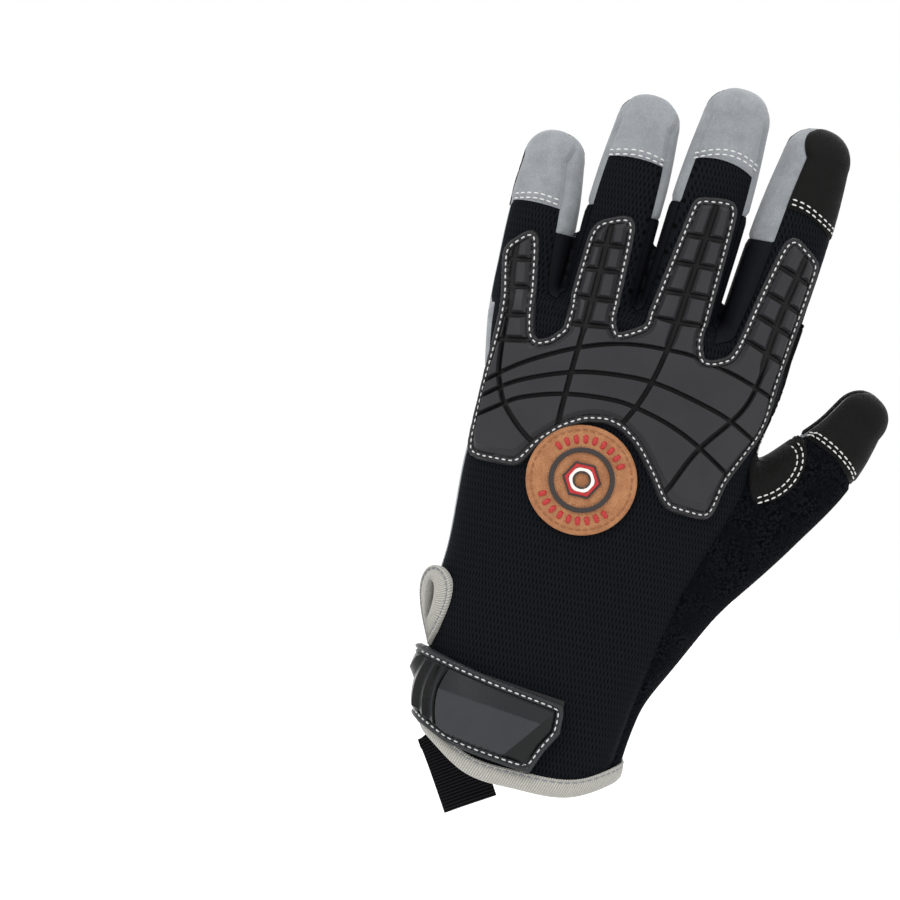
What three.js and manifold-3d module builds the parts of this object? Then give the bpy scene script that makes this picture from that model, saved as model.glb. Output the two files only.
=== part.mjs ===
// A padded work glove for the left hand, held open as it is worn: fingers up, the back of the
// hand towards -Y, the palm towards +Y and the thumb towards +X. Millimetres, +Z up.
// The origin lies in the wrist opening, where the long axis of the hand crosses the plane of the hem.
import * as THREE from 'three';
import { mergeVertices } from 'three/addons/utils/BufferGeometryUtils.js';
import Module from 'manifold-3d';

const wasm = await Module();
wasm.setup();

// Driving dimensions of the hand form
const handLength = 150;
const palmWidth = 100;
const palmDepth = 34;
const cuffWidth = 67;
const cuffDepth = 44;
const thumbLength = 126;
const thumbWidth = 25;
const thumbDepth = 23.5;

// Cloth, leather and moulded thicknesses
const wall = 1.6;
const clearance = 0.3;
const patchThickness = 1.1;
const padThickness = 2;
const armourBase = 1.4;
const armourHeight = 3.4;
const grooveWidth = 1.4;
const bindingThickness = 1.1;
const bindingHeight = 5;
const strapThickness = 2.4;
const strapCoverThickness = 1.9;
const tabThickness = 1.4;
const tabWidth = 19;

// Openings and closures
const slitWidth = 3.4;
const slitTop = 56;
const ventWidth = 11;
const ventHeight = 26;
const ventThickness = 2.6;
const hemTilt = THREE.MathUtils.degToRad(5);

// Round badge on the back of the hand
const badgeRadius = 18.7;
const badgeThickness = 2;
const badgeRingRadius = 11.4;
const badgeRingWidth = 2.2;
const badgeReliefHeight = 0.9;
const badgeNutRadius = 6.2;
const badgeNutHole = 3;

// Facets round a section
const palmSides = 18;
const fingerSides = 10;
const thumbSides = 10;
const reach = 70;
const ceiling = 2 * handLength;

// Palm sections from the wrist to the knuckles. at: share of handLength. centre: share of
// palmWidth. spread: 0 is the cuff's width and 1 the palm's. flat: the same for the depth.
const palmRows = [
  { at: -0.2, centre: -0.03, spread: 0, flat: 0 },
  { at: 0, centre: -0.032, spread: 0.02, flat: 0 },
  { at: 0.1, centre: -0.04, spread: 0.12, flat: 0.1 },
  { at: 0.2, centre: -0.04, spread: 0.27, flat: 0.3 },
  { at: 0.33, centre: -0.03, spread: 0.5, flat: 0.5 },
  { at: 0.46, centre: 0, spread: 0.63, flat: 0.6 },
  { at: 0.66, centre: 0.025, spread: 0.85, flat: 0.8 },
  { at: 0.83, centre: 0.04, spread: 0.88, flat: 1 },
  { at: 0.98, centre: 0.05, spread: 1.04, flat: 1.45 },
  { at: 1.04, centre: 0.05, spread: 0.98, flat: 1.9 },
  { at: 1.08, centre: 0.05, spread: 0.84, flat: 2.7 },
];
const palmSquareness = 2.5;

// Fingers from pinky to index. rootX: share of palmWidth. lean: how far the tip stands beside
// the root, a share of the length. rise: the root's place in Y, a share of palmDepth.
// roll: how far the dorsal strip turns towards +X. cap, patch, wing: shares of the length at
// which the dorsal cap, the palm side tip patch and the suede tip wings begin.
const fingers = [
  { name: 'pinky', length: 70, width: 24, depth: 19, rootX: -0.362, lean: -0.02, rise: 0.1,
    roll: -25, cap: 0.61, patch: 0.59, wing: 0.5 },
  { name: 'ring', length: 89, width: 25.4, depth: 20, rootX: -0.127, lean: 0.042, rise: 0.02,
    roll: -5, cap: 0.725, patch: 0.63, wing: 0.53 },
  { name: 'middle', length: 98, width: 26.8, depth: 20.5, rootX: 0.138, lean: 0.067, rise: 0,
    roll: 3, cap: 0.7, patch: 0.58, wing: 0.56 },
  { name: 'index', length: 91, width: 26.8, depth: 20.5, rootX: 0.417, lean: 0.095, rise: 0.06,
    roll: 28, cap: 0.62, patch: 0.56, wing: 0.53 },
];
const fingerRoot = 0.973;
const fingerCurl = 0.05;

// Finger sections. along: share of the stretch from the root to the round tip's middle.
const fingerRows = [
  { along: -0.3, width: 0.7, depth: 0.8 },
  { along: 0.05, width: 0.99, depth: 1.22 },
  { along: 0.4, width: 1.03, depth: 1.04 },
  { along: 0.85, width: 0.96, depth: 0.96 },
  { along: 1, width: 0.88, depth: 0.9 },
];
const seamShare = 0.58;
const patchShare = 0.82;
const patchEdge = 0.1;
const tipAngles = [30, 60];

// Thumb sections along its own line. out: offset across that line, a share of thumbWidth.
// lift: towards the palm, a share of palmDepth.
const thumbRoot = { x: 0.2, z: 0.307 };
const thumbAngle = THREE.MathUtils.degToRad(33);
const thumbRows = [
  { along: -0.1, out: 0, width: 1.1, depth: 1.05, lift: 0.06 },
  { along: 0, out: 0, width: 1.38, depth: 1.36, lift: 0.09 },
  { along: 0.29, out: -0.06, width: 1.48, depth: 1.36, lift: 0.15 },
  { along: 0.55, out: 0.1, width: 1.24, depth: 1.2, lift: 0.2 },
  { along: 0.77, out: 0.19, width: 1, depth: 1, lift: 0.29 },
  { along: 0.85, out: 0.18, width: 0.86, depth: 0.87, lift: 0.32 },
  { along: 0.925, out: 0.12, width: 0.74, depth: 0.77, lift: 0.35 },
];

// Side seam between the back of the hand and the palm, seen along Z, in shares of palmWidth
// and palmDepth.
const sideSeam = [
  { x: -0.8, y: -0.08 },
  { x: -0.3, y: -0.04 },
  { x: 0.25, y: 0.02 },
  { x: 0.55, y: 0.08 },
  { x: 0.7, y: 0.25 },
  { x: 1, y: 0.42 },
  { x: 1.3, y: 0.5 },
];
// Heights, shares of handLength, at which the back panel and the palm panel end
const backTop = 1.02;
const palmTop = 1.066;

// Solid helpers
function solid(geometry) {
  geometry.deleteAttribute('normal');
  geometry.deleteAttribute('uv');
  const merged = mergeVertices(geometry, 1e-5);
  const vertProperties = new Float32Array(merged.attributes.position.array);
  const triVerts = new Uint32Array(merged.index.array);
  return new wasm.Manifold(new wasm.Mesh({ numProp: 3, vertProperties, triVerts }));
}

// The largest body of a cut, without the crumbs that slanting seams leave
function main(piece) {
  return piece.decompose().reduce((best, body) => (body.volume() > best.volume() ? body : best));
}

function joined(pieces) {
  return pieces.reduce((sum, piece) => sum.add(piece));
}

// Rings of points, joined into one closed skin with a fan on each end
function skin(rings, tip) {
  const sides = rings[0].length;
  const middle = (ring) => ring.reduce((sum, p) => sum.add(p), new THREE.Vector3()).divideScalar(sides);
  const points = [...rings.flat(), middle(rings[0]), tip ?? middle(rings.at(-1))];
  const foot = rings.length * sides;
  const index = [];
  for (let i = 0; i < rings.length - 1; i += 1) {
    for (let j = 0; j < sides; j += 1) {
      const a = i * sides + j;
      const b = i * sides + ((j + 1) % sides);
      index.push(a, b, b + sides, a, b + sides, a + sides);
    }
  }
  for (let j = 0; j < sides; j += 1) {
    const next = (j + 1) % sides;
    const top = (rings.length - 1) * sides;
    index.push(foot, next, j, foot + 1, top + j, top + next);
  }
  const geometry = new THREE.BufferGeometry().setFromPoints(points);
  geometry.setIndex(index);
  return solid(geometry);
}

// A section across a path that lies in the XZ plane: an ellipse, or a squarer curve above 2
function ring(section, sides, squareness) {
  const across = new THREE.Vector3(section.ahead.z, 0, -section.ahead.x);
  return Array.from({ length: sides }, (unused, j) => {
    const angle = (2 * Math.PI * j) / sides;
    const c = Math.cos(angle);
    const s = Math.sin(angle);
    const u = Math.sign(c) * Math.abs(c) ** (2 / squareness) * section.halfWidth;
    const v = Math.sign(s) * Math.abs(s) ** (2 / squareness) * section.halfDepth;
    return section.middle.clone().addScaledVector(across, u).add(new THREE.Vector3(0, v, 0));
  });
}

// Table columns read as smooth curves of the first column
function smooth(rows, at, columns) {
  const values = rows.flatMap((row) => columns.map((name) => row[name]));
  const curve = new THREE.CubicInterpolant(rows.map((row) => row[at]), values, columns.length);
  return (share) => Object.fromEntries([...curve.evaluate(share)].map((v, i) => [columns[i], v]));
}

// Palm form
const palmCurve = smooth(palmRows, 'at', ['centre', 'spread', 'flat']);
const palmSteps = [-0.2, 0.05, 0.2, 0.33, 0.5, 0.66, 0.83, 0.98, 1.04, 1.08];

function palmForm(grow) {
  const rings = palmSteps.map((at) => {
    const row = palmCurve(at);
    const last = at === palmSteps.at(-1);
    const section = {
      middle: new THREE.Vector3(row.centre * palmWidth, 0, at * handLength + (last ? grow : 0)),
      ahead: new THREE.Vector3(0, 0, 1),
      halfWidth: THREE.MathUtils.lerp(cuffWidth, palmWidth, row.spread) / 2 + grow,
      halfDepth: THREE.MathUtils.lerp(cuffDepth, palmDepth, row.flat) / 2 + grow,
    };
    return ring(section, palmSides, palmSquareness);
  });
  return skin(rings);
}

// A finger or thumb: sections up to the round tip, then the tip itself
function digitForm(path, sizes, tipHeight, sides, grow) {
  const sections = sizes.map((size, i) => ({
    middle: path[i],
    ahead: path[Math.min(i + 1, path.length - 1)].clone().sub(path[Math.max(i - 1, 0)]).setY(0).normalize(),
    halfWidth: size.width / 2 + grow,
    halfDepth: size.depth / 2 + grow,
  }));
  const end = sections.at(-1);
  const tipReach = tipHeight + grow;
  const tipSections = tipAngles.map((degrees) => {
    const angle = THREE.MathUtils.degToRad(degrees);
    return {
      middle: end.middle.clone().addScaledVector(end.ahead, tipReach * Math.sin(angle)),
      ahead: end.ahead,
      halfWidth: end.halfWidth * Math.cos(angle) ** 0.85,
      halfDepth: end.halfDepth * Math.cos(angle) ** 0.85,
    };
  });
  const rings = [...sections, ...tipSections].map((section) => ring(section, sides, 2.15));
  return skin(rings, end.middle.clone().addScaledVector(end.ahead, tipReach));
}

function fingerTip(finger) {
  return (finger.width * fingerRows.at(-1).width) / 2;
}

// A point on a finger's middle line, by its share of the length up to the round tip's middle
function fingerPoint(finger, along) {
  const straight = finger.length - fingerTip(finger);
  return new THREE.Vector3(
    finger.rootX * palmWidth + finger.lean * finger.length * along,
    finger.rise * palmDepth + fingerCurl * finger.length * along * along,
    fingerRoot * handLength + straight * along,
  );
}

function fingerForm(finger, grow) {
  const path = fingerRows.map((row) => fingerPoint(finger, row.along));
  const sizes = fingerRows.map((row) => ({
    width: row.width * finger.width,
    depth: row.depth * finger.depth,
  }));
  return digitForm(path, sizes, fingerTip(finger), fingerSides, grow);
}

const thumbCurve = smooth(thumbRows, 'along', ['out', 'width', 'depth', 'lift']);
const thumbSteps = [-0.1, 0, 0.2, 0.4, 0.58, 0.77, 0.86, 0.925];

function thumbForm(grow) {
  const path = thumbSteps.map((along) => {
    const row = thumbCurve(along);
    const forward = along * thumbLength;
    const out = row.out * thumbWidth;
    return new THREE.Vector3(
      thumbRoot.x * palmWidth + forward * Math.sin(thumbAngle) + out * Math.cos(thumbAngle),
      row.lift * palmDepth,
      thumbRoot.z * handLength + forward * Math.cos(thumbAngle) - out * Math.sin(thumbAngle),
    );
  });
  const sizes = thumbSteps.map((along) => {
    const row = thumbCurve(along);
    return { width: row.width * thumbWidth, depth: row.depth * thumbDepth };
  });
  const tipHeight = (1 - thumbSteps.at(-1)) * thumbLength;
  return digitForm(path, sizes, tipHeight, thumbSides, grow);
}

// The whole hand form, grown outwards or shrunk inwards, and the layer between two of them
const handForms = new Map();

function hand(grow) {
  if (!handForms.has(grow)) {
    const pieces = fingers.map((finger) => fingerForm(finger, grow));
    handForms.set(grow, joined([palmForm(grow), thumbForm(grow), ...pieces]));
  }
  return handForms.get(grow);
}

function layer(inner, outer) {
  return hand(outer).subtract(hand(inner));
}

// Outlines. A point is [x, z] in millimetres, from shares of palmWidth and handLength
function onHand(shares) {
  return shares.map(([x, z]) => new THREE.Vector2(x * palmWidth, z * handLength));
}

function rounded(points, radius) {
  const shape = new THREE.Shape();
  points.forEach((corner, i) => {
    const before = points.at(i - 1);
    const after = points[(i + 1) % points.length];
    const back = Math.min(radius, corner.distanceTo(before) * 0.45);
    const on = Math.min(radius, corner.distanceTo(after) * 0.45);
    const start = corner.clone().lerp(before, back / corner.distanceTo(before));
    const end = corner.clone().lerp(after, on / corner.distanceTo(after));
    if (i === 0) {
      shape.moveTo(start.x, start.y);
    } else {
      shape.lineTo(start.x, start.y);
    }
    shape.quadraticCurveTo(corner.x, corner.y, end.x, end.y);
  });
  shape.closePath();
  return shape;
}

// An outline in XZ carried along Y, and one in YZ carried along X
function alongY(shape, from, to, curveSegments = 2) {
  const depth = to - from;
  const geometry = new THREE.ExtrudeGeometry(shape, { depth, bevelEnabled: false, curveSegments });
  geometry.rotateX(Math.PI / 2);
  geometry.translate(0, to, 0);
  return solid(geometry);
}

function alongX(shape, from, to, curveSegments = 6) {
  const depth = to - from;
  const geometry = new THREE.ExtrudeGeometry(shape, { depth, bevelEnabled: false, curveSegments });
  const turn = new THREE.Matrix4().makeBasis(
    new THREE.Vector3(0, 1, 0),
    new THREE.Vector3(0, 0, 1),
    new THREE.Vector3(1, 0, 0),
  );
  geometry.applyMatrix4(turn);
  geometry.translate(from, 0, 0);
  return solid(geometry);
}

function alongZ(shape, from, to) {
  const geometry = new THREE.ExtrudeGeometry(shape, { depth: to - from, bevelEnabled: false });
  geometry.translate(0, 0, from);
  return solid(geometry);
}

// A band of one width along a line of points
function stroke(points, width) {
  const left = [];
  const right = [];
  points.forEach((point, i) => {
    const before = points[Math.max(i - 1, 0)];
    const after = points[Math.min(i + 1, points.length - 1)];
    const ahead = after.clone().sub(before).normalize();
    const across = new THREE.Vector2(-ahead.y, ahead.x).multiplyScalar(width / 2);
    left.push(point.clone().add(across));
    right.unshift(point.clone().sub(across));
  });
  return new THREE.Shape([...left, ...right]);
}

function block(x0, x1, y0, y1, z0, z1) {
  const corners = [[x0, z0], [x1, z0], [x1, z1], [x0, z1]];
  return alongY(new THREE.Shape(corners.map(([x, z]) => new THREE.Vector2(x, z))), y0, y1);
}

// Space behind or in front of the side seam, up to a height
function seamSpace(side, shift, top) {
  const line = sideSeam.map((p) => new THREE.Vector2(p.x * palmWidth, p.y * palmDepth + shift));
  const far = new THREE.Vector2(line.at(-1).x, side * reach);
  const near = new THREE.Vector2(line[0].x, side * reach);
  const outline = side < 0 ? [...line.reverse(), near, far] : [...line, far, near];
  return alongZ(new THREE.Shape(outline), -reach, top);
}

// Space round one finger, up to the middle of the gaps beside it
function gapLine(left, right, z) {
  const share = (finger) => (z - fingerRoot * handLength) / (finger.length - fingerTip(finger));
  const leftEdge = fingerPoint(left, share(left)).x + left.width / 2;
  const rightEdge = fingerPoint(right, share(right)).x - right.width / 2;
  return (leftEdge + rightEdge) / 2;
}

function fingerZone(i, bottom, margin = 0) {
  const levels = [bottom, ceiling];
  const leftSide = levels.map((z) => {
    const x = i > 0 ? gapLine(fingers[i - 1], fingers[i], z) + margin : -reach;
    return new THREE.Vector2(x, z);
  });
  const rightSide = levels.map((z) => {
    const last = i === fingers.length - 1;
    const x = last ? palmWidth * 0.75 : gapLine(fingers[i], fingers[i + 1], z) - margin;
    return new THREE.Vector2(x, z);
  });
  return alongY(new THREE.Shape([...leftSide.reverse(), ...rightSide]), -reach, reach);
}

// A slab along a finger: from one depth to another, measured from the middle line towards the
// back of the hand, and from one share of the width to another. The roll turns it.
function fingerSlab(finger, low, high, uLow = -1, uHigh = 1, degrees = 0) {
  const roll = THREE.MathUtils.degToRad(degrees);
  const dorsal = new THREE.Vector3(Math.sin(roll), -Math.cos(roll), 0);
  const across = new THREE.Vector3(Math.cos(roll), Math.sin(roll), 0);
  const rings = [-0.4, 0.3, 1, 1.5].map((along) => {
    const middle = fingerPoint(finger, along);
    const corners = [[uLow, high], [uHigh, high], [uHigh, low], [uLow, low]];
    return corners.map(([u, v]) => middle.clone()
      .addScaledVector(across, u * finger.width)
      .addScaledVector(dorsal, v));
  });
  return skin(rings);
}

// The strip along the back of a finger, and the one on its palm side, made wider by a margin
function dorsalSpace(finger, margin) {
  return fingerSlab(finger, (seamShare * finger.depth) / 2 - margin, reach / 2, -1, 1, finger.roll);
}

function palmarSpace(finger, margin) {
  return fingerSlab(finger, -reach / 2, (-seamShare * finger.depth) / 2 + margin);
}

function above(z) {
  return block(-2 * reach, 2 * reach, -reach, reach, z, ceiling);
}

function startOf(finger, share) {
  return fingerRoot * handLength + finger.length * share;
}

// Seam between the knitted back and the thumb, the line on the palm side where the thumb's front
// begins, and the outline of the thumb's capped tip
const thumbSeam = onHand([[0.62, 1.04], [0.56, 0.82], [0.53, 0.813], [0.5, 0.7], [0.44, 0.587],
  [0.38, 0.467], [0.34, 0.333], [0.31, 0.2], [0.28, 0.04], [0.26, -0.2]]);
const thumbRootLine = onHand([[0.66, 1.08], [0.61, 0.98], [0.565, 0.83], [0.545, 0.79], [0.6, 0.6],
  [0.68, 0.4]]);
const thumbTipOutline = onHand([[0.6, 0.905], [0.67, 0.887], [0.8, 0.847], [0.88, 0.797], [1, 0.74],
  [1.1, 1.07], [0.63, 1.07]]);

// Space on the thumb's side of a line that runs down the hand
function thumbSide(line, shift) {
  const far = 1.2 * palmWidth;
  const outline = line.map((p) => new THREE.Vector2(p.x + shift, p.y));
  outline.push(new THREE.Vector2(far, line.at(-1).y), new THREE.Vector2(far, line[0].y));
  return alongY(new THREE.Shape(outline), -reach, reach);
}

function thumbTipSpace(shift) {
  const outline = thumbTipOutline.map((p) => new THREE.Vector2(p.x, p.y + shift));
  return alongY(new THREE.Shape(outline), -reach, reach);
}

// Space below the curved hem, raised by a height
const hemShares = [[-0.8, 0.08], [-0.36, 0.035], [-0.23, -0.012], [-0.03, -0.025], [0.18, -0.014],
  [0.31, 0.028], [0.8, 0.09]];

function belowHem(rise) {
  const line = onHand(hemShares).map((p) => p.add(new THREE.Vector2(0, rise)));
  const corners = [new THREE.Vector2(line.at(-1).x, -reach), new THREE.Vector2(line[0].x, -reach)];
  const shape = new THREE.Shape([...line, ...corners]);
  const geometry = new THREE.ExtrudeGeometry(shape, { depth: 2 * reach, bevelEnabled: false });
  geometry.rotateX(Math.PI / 2);
  geometry.translate(0, reach, 0);
  geometry.rotateX(hemTilt);
  return solid(geometry);
}

// Finger parts shared by the panels
const backZ = backTop * handLength;
const palmZ = palmTop * handLength;
const dorsalStrips = fingers.map((finger, i) => dorsalSpace(finger, 0)
  .intersect(fingerZone(i, backZ - 3))
  .subtract(seamSpace(1, 0, backZ + clearance)));
const wings = fingers.map((finger, i) => fingerZone(i, startOf(finger, finger.wing))
  .subtract(dorsalSpace(finger, clearance)));
const outerSides = joined([[0, -1, 0], [fingers.length - 1, 0, 1]].map(([i, uLow, uHigh]) => fingerSlab(
  fingers[i],
  -reach / 2,
  reach / 2,
  uLow,
  uHigh,
).intersect(fingerZone(i, backZ + clearance)).subtract(dorsalSpace(fingers[i], clearance))));

// Slit up the little finger's side of the cuff
const ventMiddle = -0.15 * palmDepth;
const slit = alongX(new THREE.Shape([
  new THREE.Vector2(ventMiddle - slitWidth / 2, -reach),
  new THREE.Vector2(ventMiddle + slitWidth / 2, -reach),
  new THREE.Vector2(ventMiddle + slitWidth / 2, slitTop - slitWidth),
  new THREE.Vector2(ventMiddle, slitTop),
  new THREE.Vector2(ventMiddle - slitWidth / 2, slitTop - slitWidth),
]), -reach, 0);
const hemFloor = belowHem(bindingHeight + clearance);
const shell = layer(-wall, 0).subtract(hemFloor).subtract(slit);

// Panels of the shell
const backHalf = seamSpace(-1, 0, backZ);
const palmRim = seamSpace(1, clearance, palmZ)
  .subtract(joined(fingers.map((finger) => dorsalSpace(finger, clearance))));
const palmHalf = seamSpace(1, clearance, backZ).add(palmRim);
const capSpaces = fingers.map((finger, i) => fingerZone(i, startOf(finger, finger.cap)));
const capGaps = fingers.map((finger, i) => fingerZone(i, startOf(finger, finger.cap) - clearance));

function backPanel() {
  const space = joined([backHalf.subtract(thumbSide(thumbSeam, -clearance)), ...dorsalStrips]);
  return shell.intersect(space).subtract(joined(capGaps));
}

function palmPanel() {
  const space = palmHalf.add(outerSides.subtract(above(palmZ)));
  return shell.intersect(space).subtract(thumbSide(thumbRootLine, -clearance));
}

function fingerFront(i) {
  const space = joined([palmarSpace(fingers[i], 0), wings[i], outerSides]);
  return shell.intersect(space).intersect(fingerZone(i, palmZ + clearance, clearance / 2));
}

function thumbFront() {
  return shell.intersect(palmHalf).intersect(thumbSide(thumbRootLine, 0));
}

function fingerCap(i) {
  return shell.intersect(dorsalStrips[i]).intersect(capSpaces[i]);
}

function fourchette(i) {
  const sides = [[i, 0, 1], [i + 1, -1, 0]].map(([zone, uLow, uHigh]) => {
    const finger = fingers[zone];
    return fingerSlab(finger, -reach / 2, reach / 2, uLow, uHigh)
      .intersect(fingerZone(zone, backZ - 3))
      .subtract(dorsalSpace(finger, clearance))
      .subtract(palmarSpace(finger, clearance))
      .subtract(above(startOf(finger, finger.wing) - clearance));
  });
  const taken = [seamSpace(-1, clearance, backZ + clearance), seamSpace(1, 0, palmZ + clearance)];
  return shell.intersect(joined(sides)).subtract(joined(taken));
}

function thumbBack() {
  const space = backHalf.intersect(thumbSide(thumbSeam, 0));
  return shell.intersect(space).subtract(thumbTipSpace(-clearance));
}

function thumbCap() {
  return shell.intersect(backHalf).intersect(thumbTipSpace(0));
}

// Patches and pads sewn on the shell
const palmSpace = seamSpace(1, clearance, ceiling);
const backSpace = seamSpace(-1, 0, ceiling);

function tipPatch(i) {
  const finger = fingers[i];
  const half = patchShare / 2;
  const low = i === 0 ? -0.5 : -half;
  const high = i === fingers.length - 1 ? 0.5 : half;
  return layer(clearance, clearance + patchThickness)
    .intersect(fingerSlab(finger, -reach / 2, -patchEdge * finger.depth, low, high))
    .intersect(fingerZone(i, startOf(finger, finger.patch)));
}

function thumbPatch() {
  return layer(clearance, clearance + patchThickness)
    .intersect(thumbTipSpace(0))
    .intersect(seamSpace(1, 4 * clearance, ceiling));
}

function pad(shares, radius, thickness, space, cornerSteps = 2) {
  const outline = alongY(rounded(onHand(shares), radius), -reach, reach, cornerSteps);
  return layer(clearance, clearance + thickness).intersect(outline).intersect(space);
}

const knucklePadShares = [[-0.43, 0.93], [-0.43, 1.105], [-0.31, 1.115], [-0.275, 1.035],
  [-0.19, 1.035], [-0.17, 1.135], [-0.065, 1.135], [-0.045, 1.045], [0.08, 1.045], [0.1, 1.13],
  [0.2, 1.13], [0.23, 1.045], [0.355, 1.045], [0.39, 1.125], [0.52, 1.125], [0.52, 1], [0.48, 0.85],
  [0.22, 0.87], [0.1, 0.92], [-0.1, 0.93]];
const palmPadShares = [[-0.4, 0.66], [-0.42, 0.85], [-0.34, 0.87], [0, 0.885], [0.08, 0.86],
  [0.2, 0.82], [0.4, 0.815], [0.47, 0.8], [0.33, 0.757], [0.14, 0.687], [0.03, 0.6], [-0.01, 0.5],
  [-0.02, 0.39], [-0.13, 0.375], [-0.34, 0.39], [-0.39, 0.5]];
const thumbPadShares = [[0.46, 0.735], [0.52, 0.71], [0.52, 0.6], [0.43, 0.45], [0.35, 0.375],
  [0.22, 0.365], [0.11, 0.37], [0.09, 0.47], [0.15, 0.59], [0.32, 0.68]];
const indexStripShares = [[0.545, 1.13], [0.65, 1.13], [0.65, 0.795], [0.495, 0.795], [0.5, 0.87],
  [0.535, 1]];
const webShares = [[0.5, 0.82], [0.6, 0.84], [0.66, 0.89], [0.7, 0.85], [0.7, 0.8], [0.67, 0.75],
  [0.58, 0.69], [0.53, 0.74]];
const strapBaseShares = [[-0.2, 0.24], [0.04, 0.235], [0.1, 0.215], [0.12, 0.18], [0.08, 0.12],
  [0, 0.07], [-0.2, 0.085]];

// Moulded guard on the back of the hand, split by grooves into blocks
const armourShares = [[-0.47, 1.11], [-0.41, 1.2], [-0.37, 1.19], [-0.32, 0.97], [-0.28, 0.935],
  [-0.22, 0.99], [-0.2, 1.24], [-0.09, 1.28], [-0.06, 1.26], [-0.06, 1.03], [0, 0.995], [0.06, 1.04],
  [0.08, 1.15], [0.12, 1.34], [0.25, 1.37], [0.265, 1.33], [0.25, 1.03], [0.28, 0.975], [0.35, 0.99],
  [0.39, 1.08], [0.45, 1.3], [0.48, 1.325], [0.58, 1.27], [0.57, 1.18], [0.54, 1], [0.52, 0.86],
  [0.43, 0.73], [0.415, 0.65], [0.25, 0.65], [0.22, 0.7], [0.12, 0.785], [0.04, 0.82], [-0.05, 0.825],
  [-0.14, 0.79], [-0.22, 0.735], [-0.28, 0.67], [-0.43, 0.665], [-0.44, 0.87], [-0.45, 1]];
const lengthwiseGrooves = [
  [[-0.435, 1.16], [-0.41, 1.03], [-0.395, 0.93], [-0.37, 0.833], [-0.28, 0.747], [-0.245, 0.72]],
  [[-0.135, 1.27], [-0.14, 1.13], [-0.155, 0.957], [-0.16, 0.9], [-0.165, 0.79]],
  [[0.195, 1.36], [0.165, 1.147], [0.14, 0.997], [0.08, 0.853], [0.045, 0.8]],
  [[0.53, 1.28], [0.49, 1.13], [0.465, 0.987], [0.4, 0.873], [0.28, 0.753], [0.24, 0.66]],
];
const crossGrooves = [
  [[-0.5, 0.81], [-0.3, 0.905], [-0.155, 0.957], [0, 0.99], [0.2, 0.997], [0.56, 0.93]],
  [[-0.5, 0.76], [-0.3, 0.863], [-0.16, 0.905], [0.115, 0.92], [0.56, 0.81]],
];
// Short grooves across each finger of the guard: the finger's two edges, then the heights
const blockRows = [
  { from: -0.5, to: -0.3, rise: 0.03, heights: [1.12, 1.055, 0.99, 0.935] },
  { from: -0.22, to: -0.04, rise: 0, heights: [1.2, 1.14, 1.075, 1.01] },
  { from: 0.03, to: 0.28, rise: 0, heights: [1.265, 1.2, 1.13, 1.06] },
  { from: 0.37, to: 0.6, rise: -0.03, heights: [1.24, 1.18, 1.12, 1.06] },
];

function backArmour() {
  const body = pad(armourShares, 2.5, armourHeight - clearance, backSpace, 1);
  const lines = [...lengthwiseGrooves, ...crossGrooves];
  blockRows.forEach(({ from, to, rise, heights }) => {
    heights.forEach((z) => lines.push([[from, z - rise / 2], [to, z + rise / 2]]));
  });
  const cutters = lines.map((line) => alongY(stroke(onHand(line), grooveWidth), -reach, 0));
  return body.subtract(joined(cutters).subtract(hand(armourBase)));
}

// Round badge with a raised ring and a plain hexagon nut
const badgeCentre = onHand([[-0.045, 0.667]])[0];

function disc(radius, hole, sides) {
  const corner = (r, j) => new THREE.Vector2(
    badgeCentre.x + r * Math.cos((2 * Math.PI * j) / sides),
    badgeCentre.y + r * Math.sin((2 * Math.PI * j) / sides),
  );
  const shape = new THREE.Shape(Array.from({ length: sides }, (unused, j) => corner(radius, j)));
  if (hole > 0) {
    shape.holes.push(new THREE.Path(Array.from({ length: sides }, (unused, j) => corner(hole, -j))));
  }
  return alongY(shape, -reach, 0);
}

const badgeTop = clearance + badgeThickness;

function badgeDisc() {
  return layer(clearance, badgeTop).intersect(disc(badgeRadius, 0, 24));
}

function badgeRing() {
  return layer(badgeTop + clearance, badgeTop + clearance + badgeReliefHeight)
    .intersect(disc(badgeRingRadius, badgeRingRadius - badgeRingWidth, 20));
}

function badgeNut() {
  return layer(badgeTop + clearance, badgeTop + clearance + badgeReliefHeight)
    .intersect(disc(badgeNutRadius, badgeNutHole, 6));
}

// Hem binding: a tape folded round the lower edge, as thick as both folds and the wall between
// them, and open at the slit
function cuffBinding() {
  const band = belowHem(bindingHeight).subtract(belowHem(0));
  const tape = palmForm(bindingThickness).subtract(palmForm(-wall - bindingThickness));
  return tape.intersect(band).subtract(slit);
}

// Binding round the top of the slit, a loop with a pointed foot
function ventBinding() {
  const top = slitTop + ventWidth / 3;
  const wide = top - ventWidth / 2;
  const shape = new THREE.Shape();
  shape.moveTo(ventMiddle - ventWidth / 7, top - ventHeight);
  shape.lineTo(ventMiddle + ventWidth / 7, top - ventHeight);
  const shoulder = wide - ventWidth / 2;
  shape.quadraticCurveTo(ventMiddle + ventWidth / 2, shoulder, ventMiddle + ventWidth / 2, wide);
  shape.absarc(ventMiddle, wide, ventWidth / 2, 0, Math.PI, false);
  const footSide = ventMiddle - ventWidth / 7;
  shape.quadraticCurveTo(ventMiddle - ventWidth / 2, shoulder, footSide, top - ventHeight);
  const half = slitWidth / 4;
  const opening = block(-reach, 0, ventMiddle - half, ventMiddle + half, -reach, slitTop - slitWidth);
  return palmForm(clearance + ventThickness).subtract(palmForm(clearance))
    .intersect(alongX(shape, -reach, 0))
    .subtract(opening);
}

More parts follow.
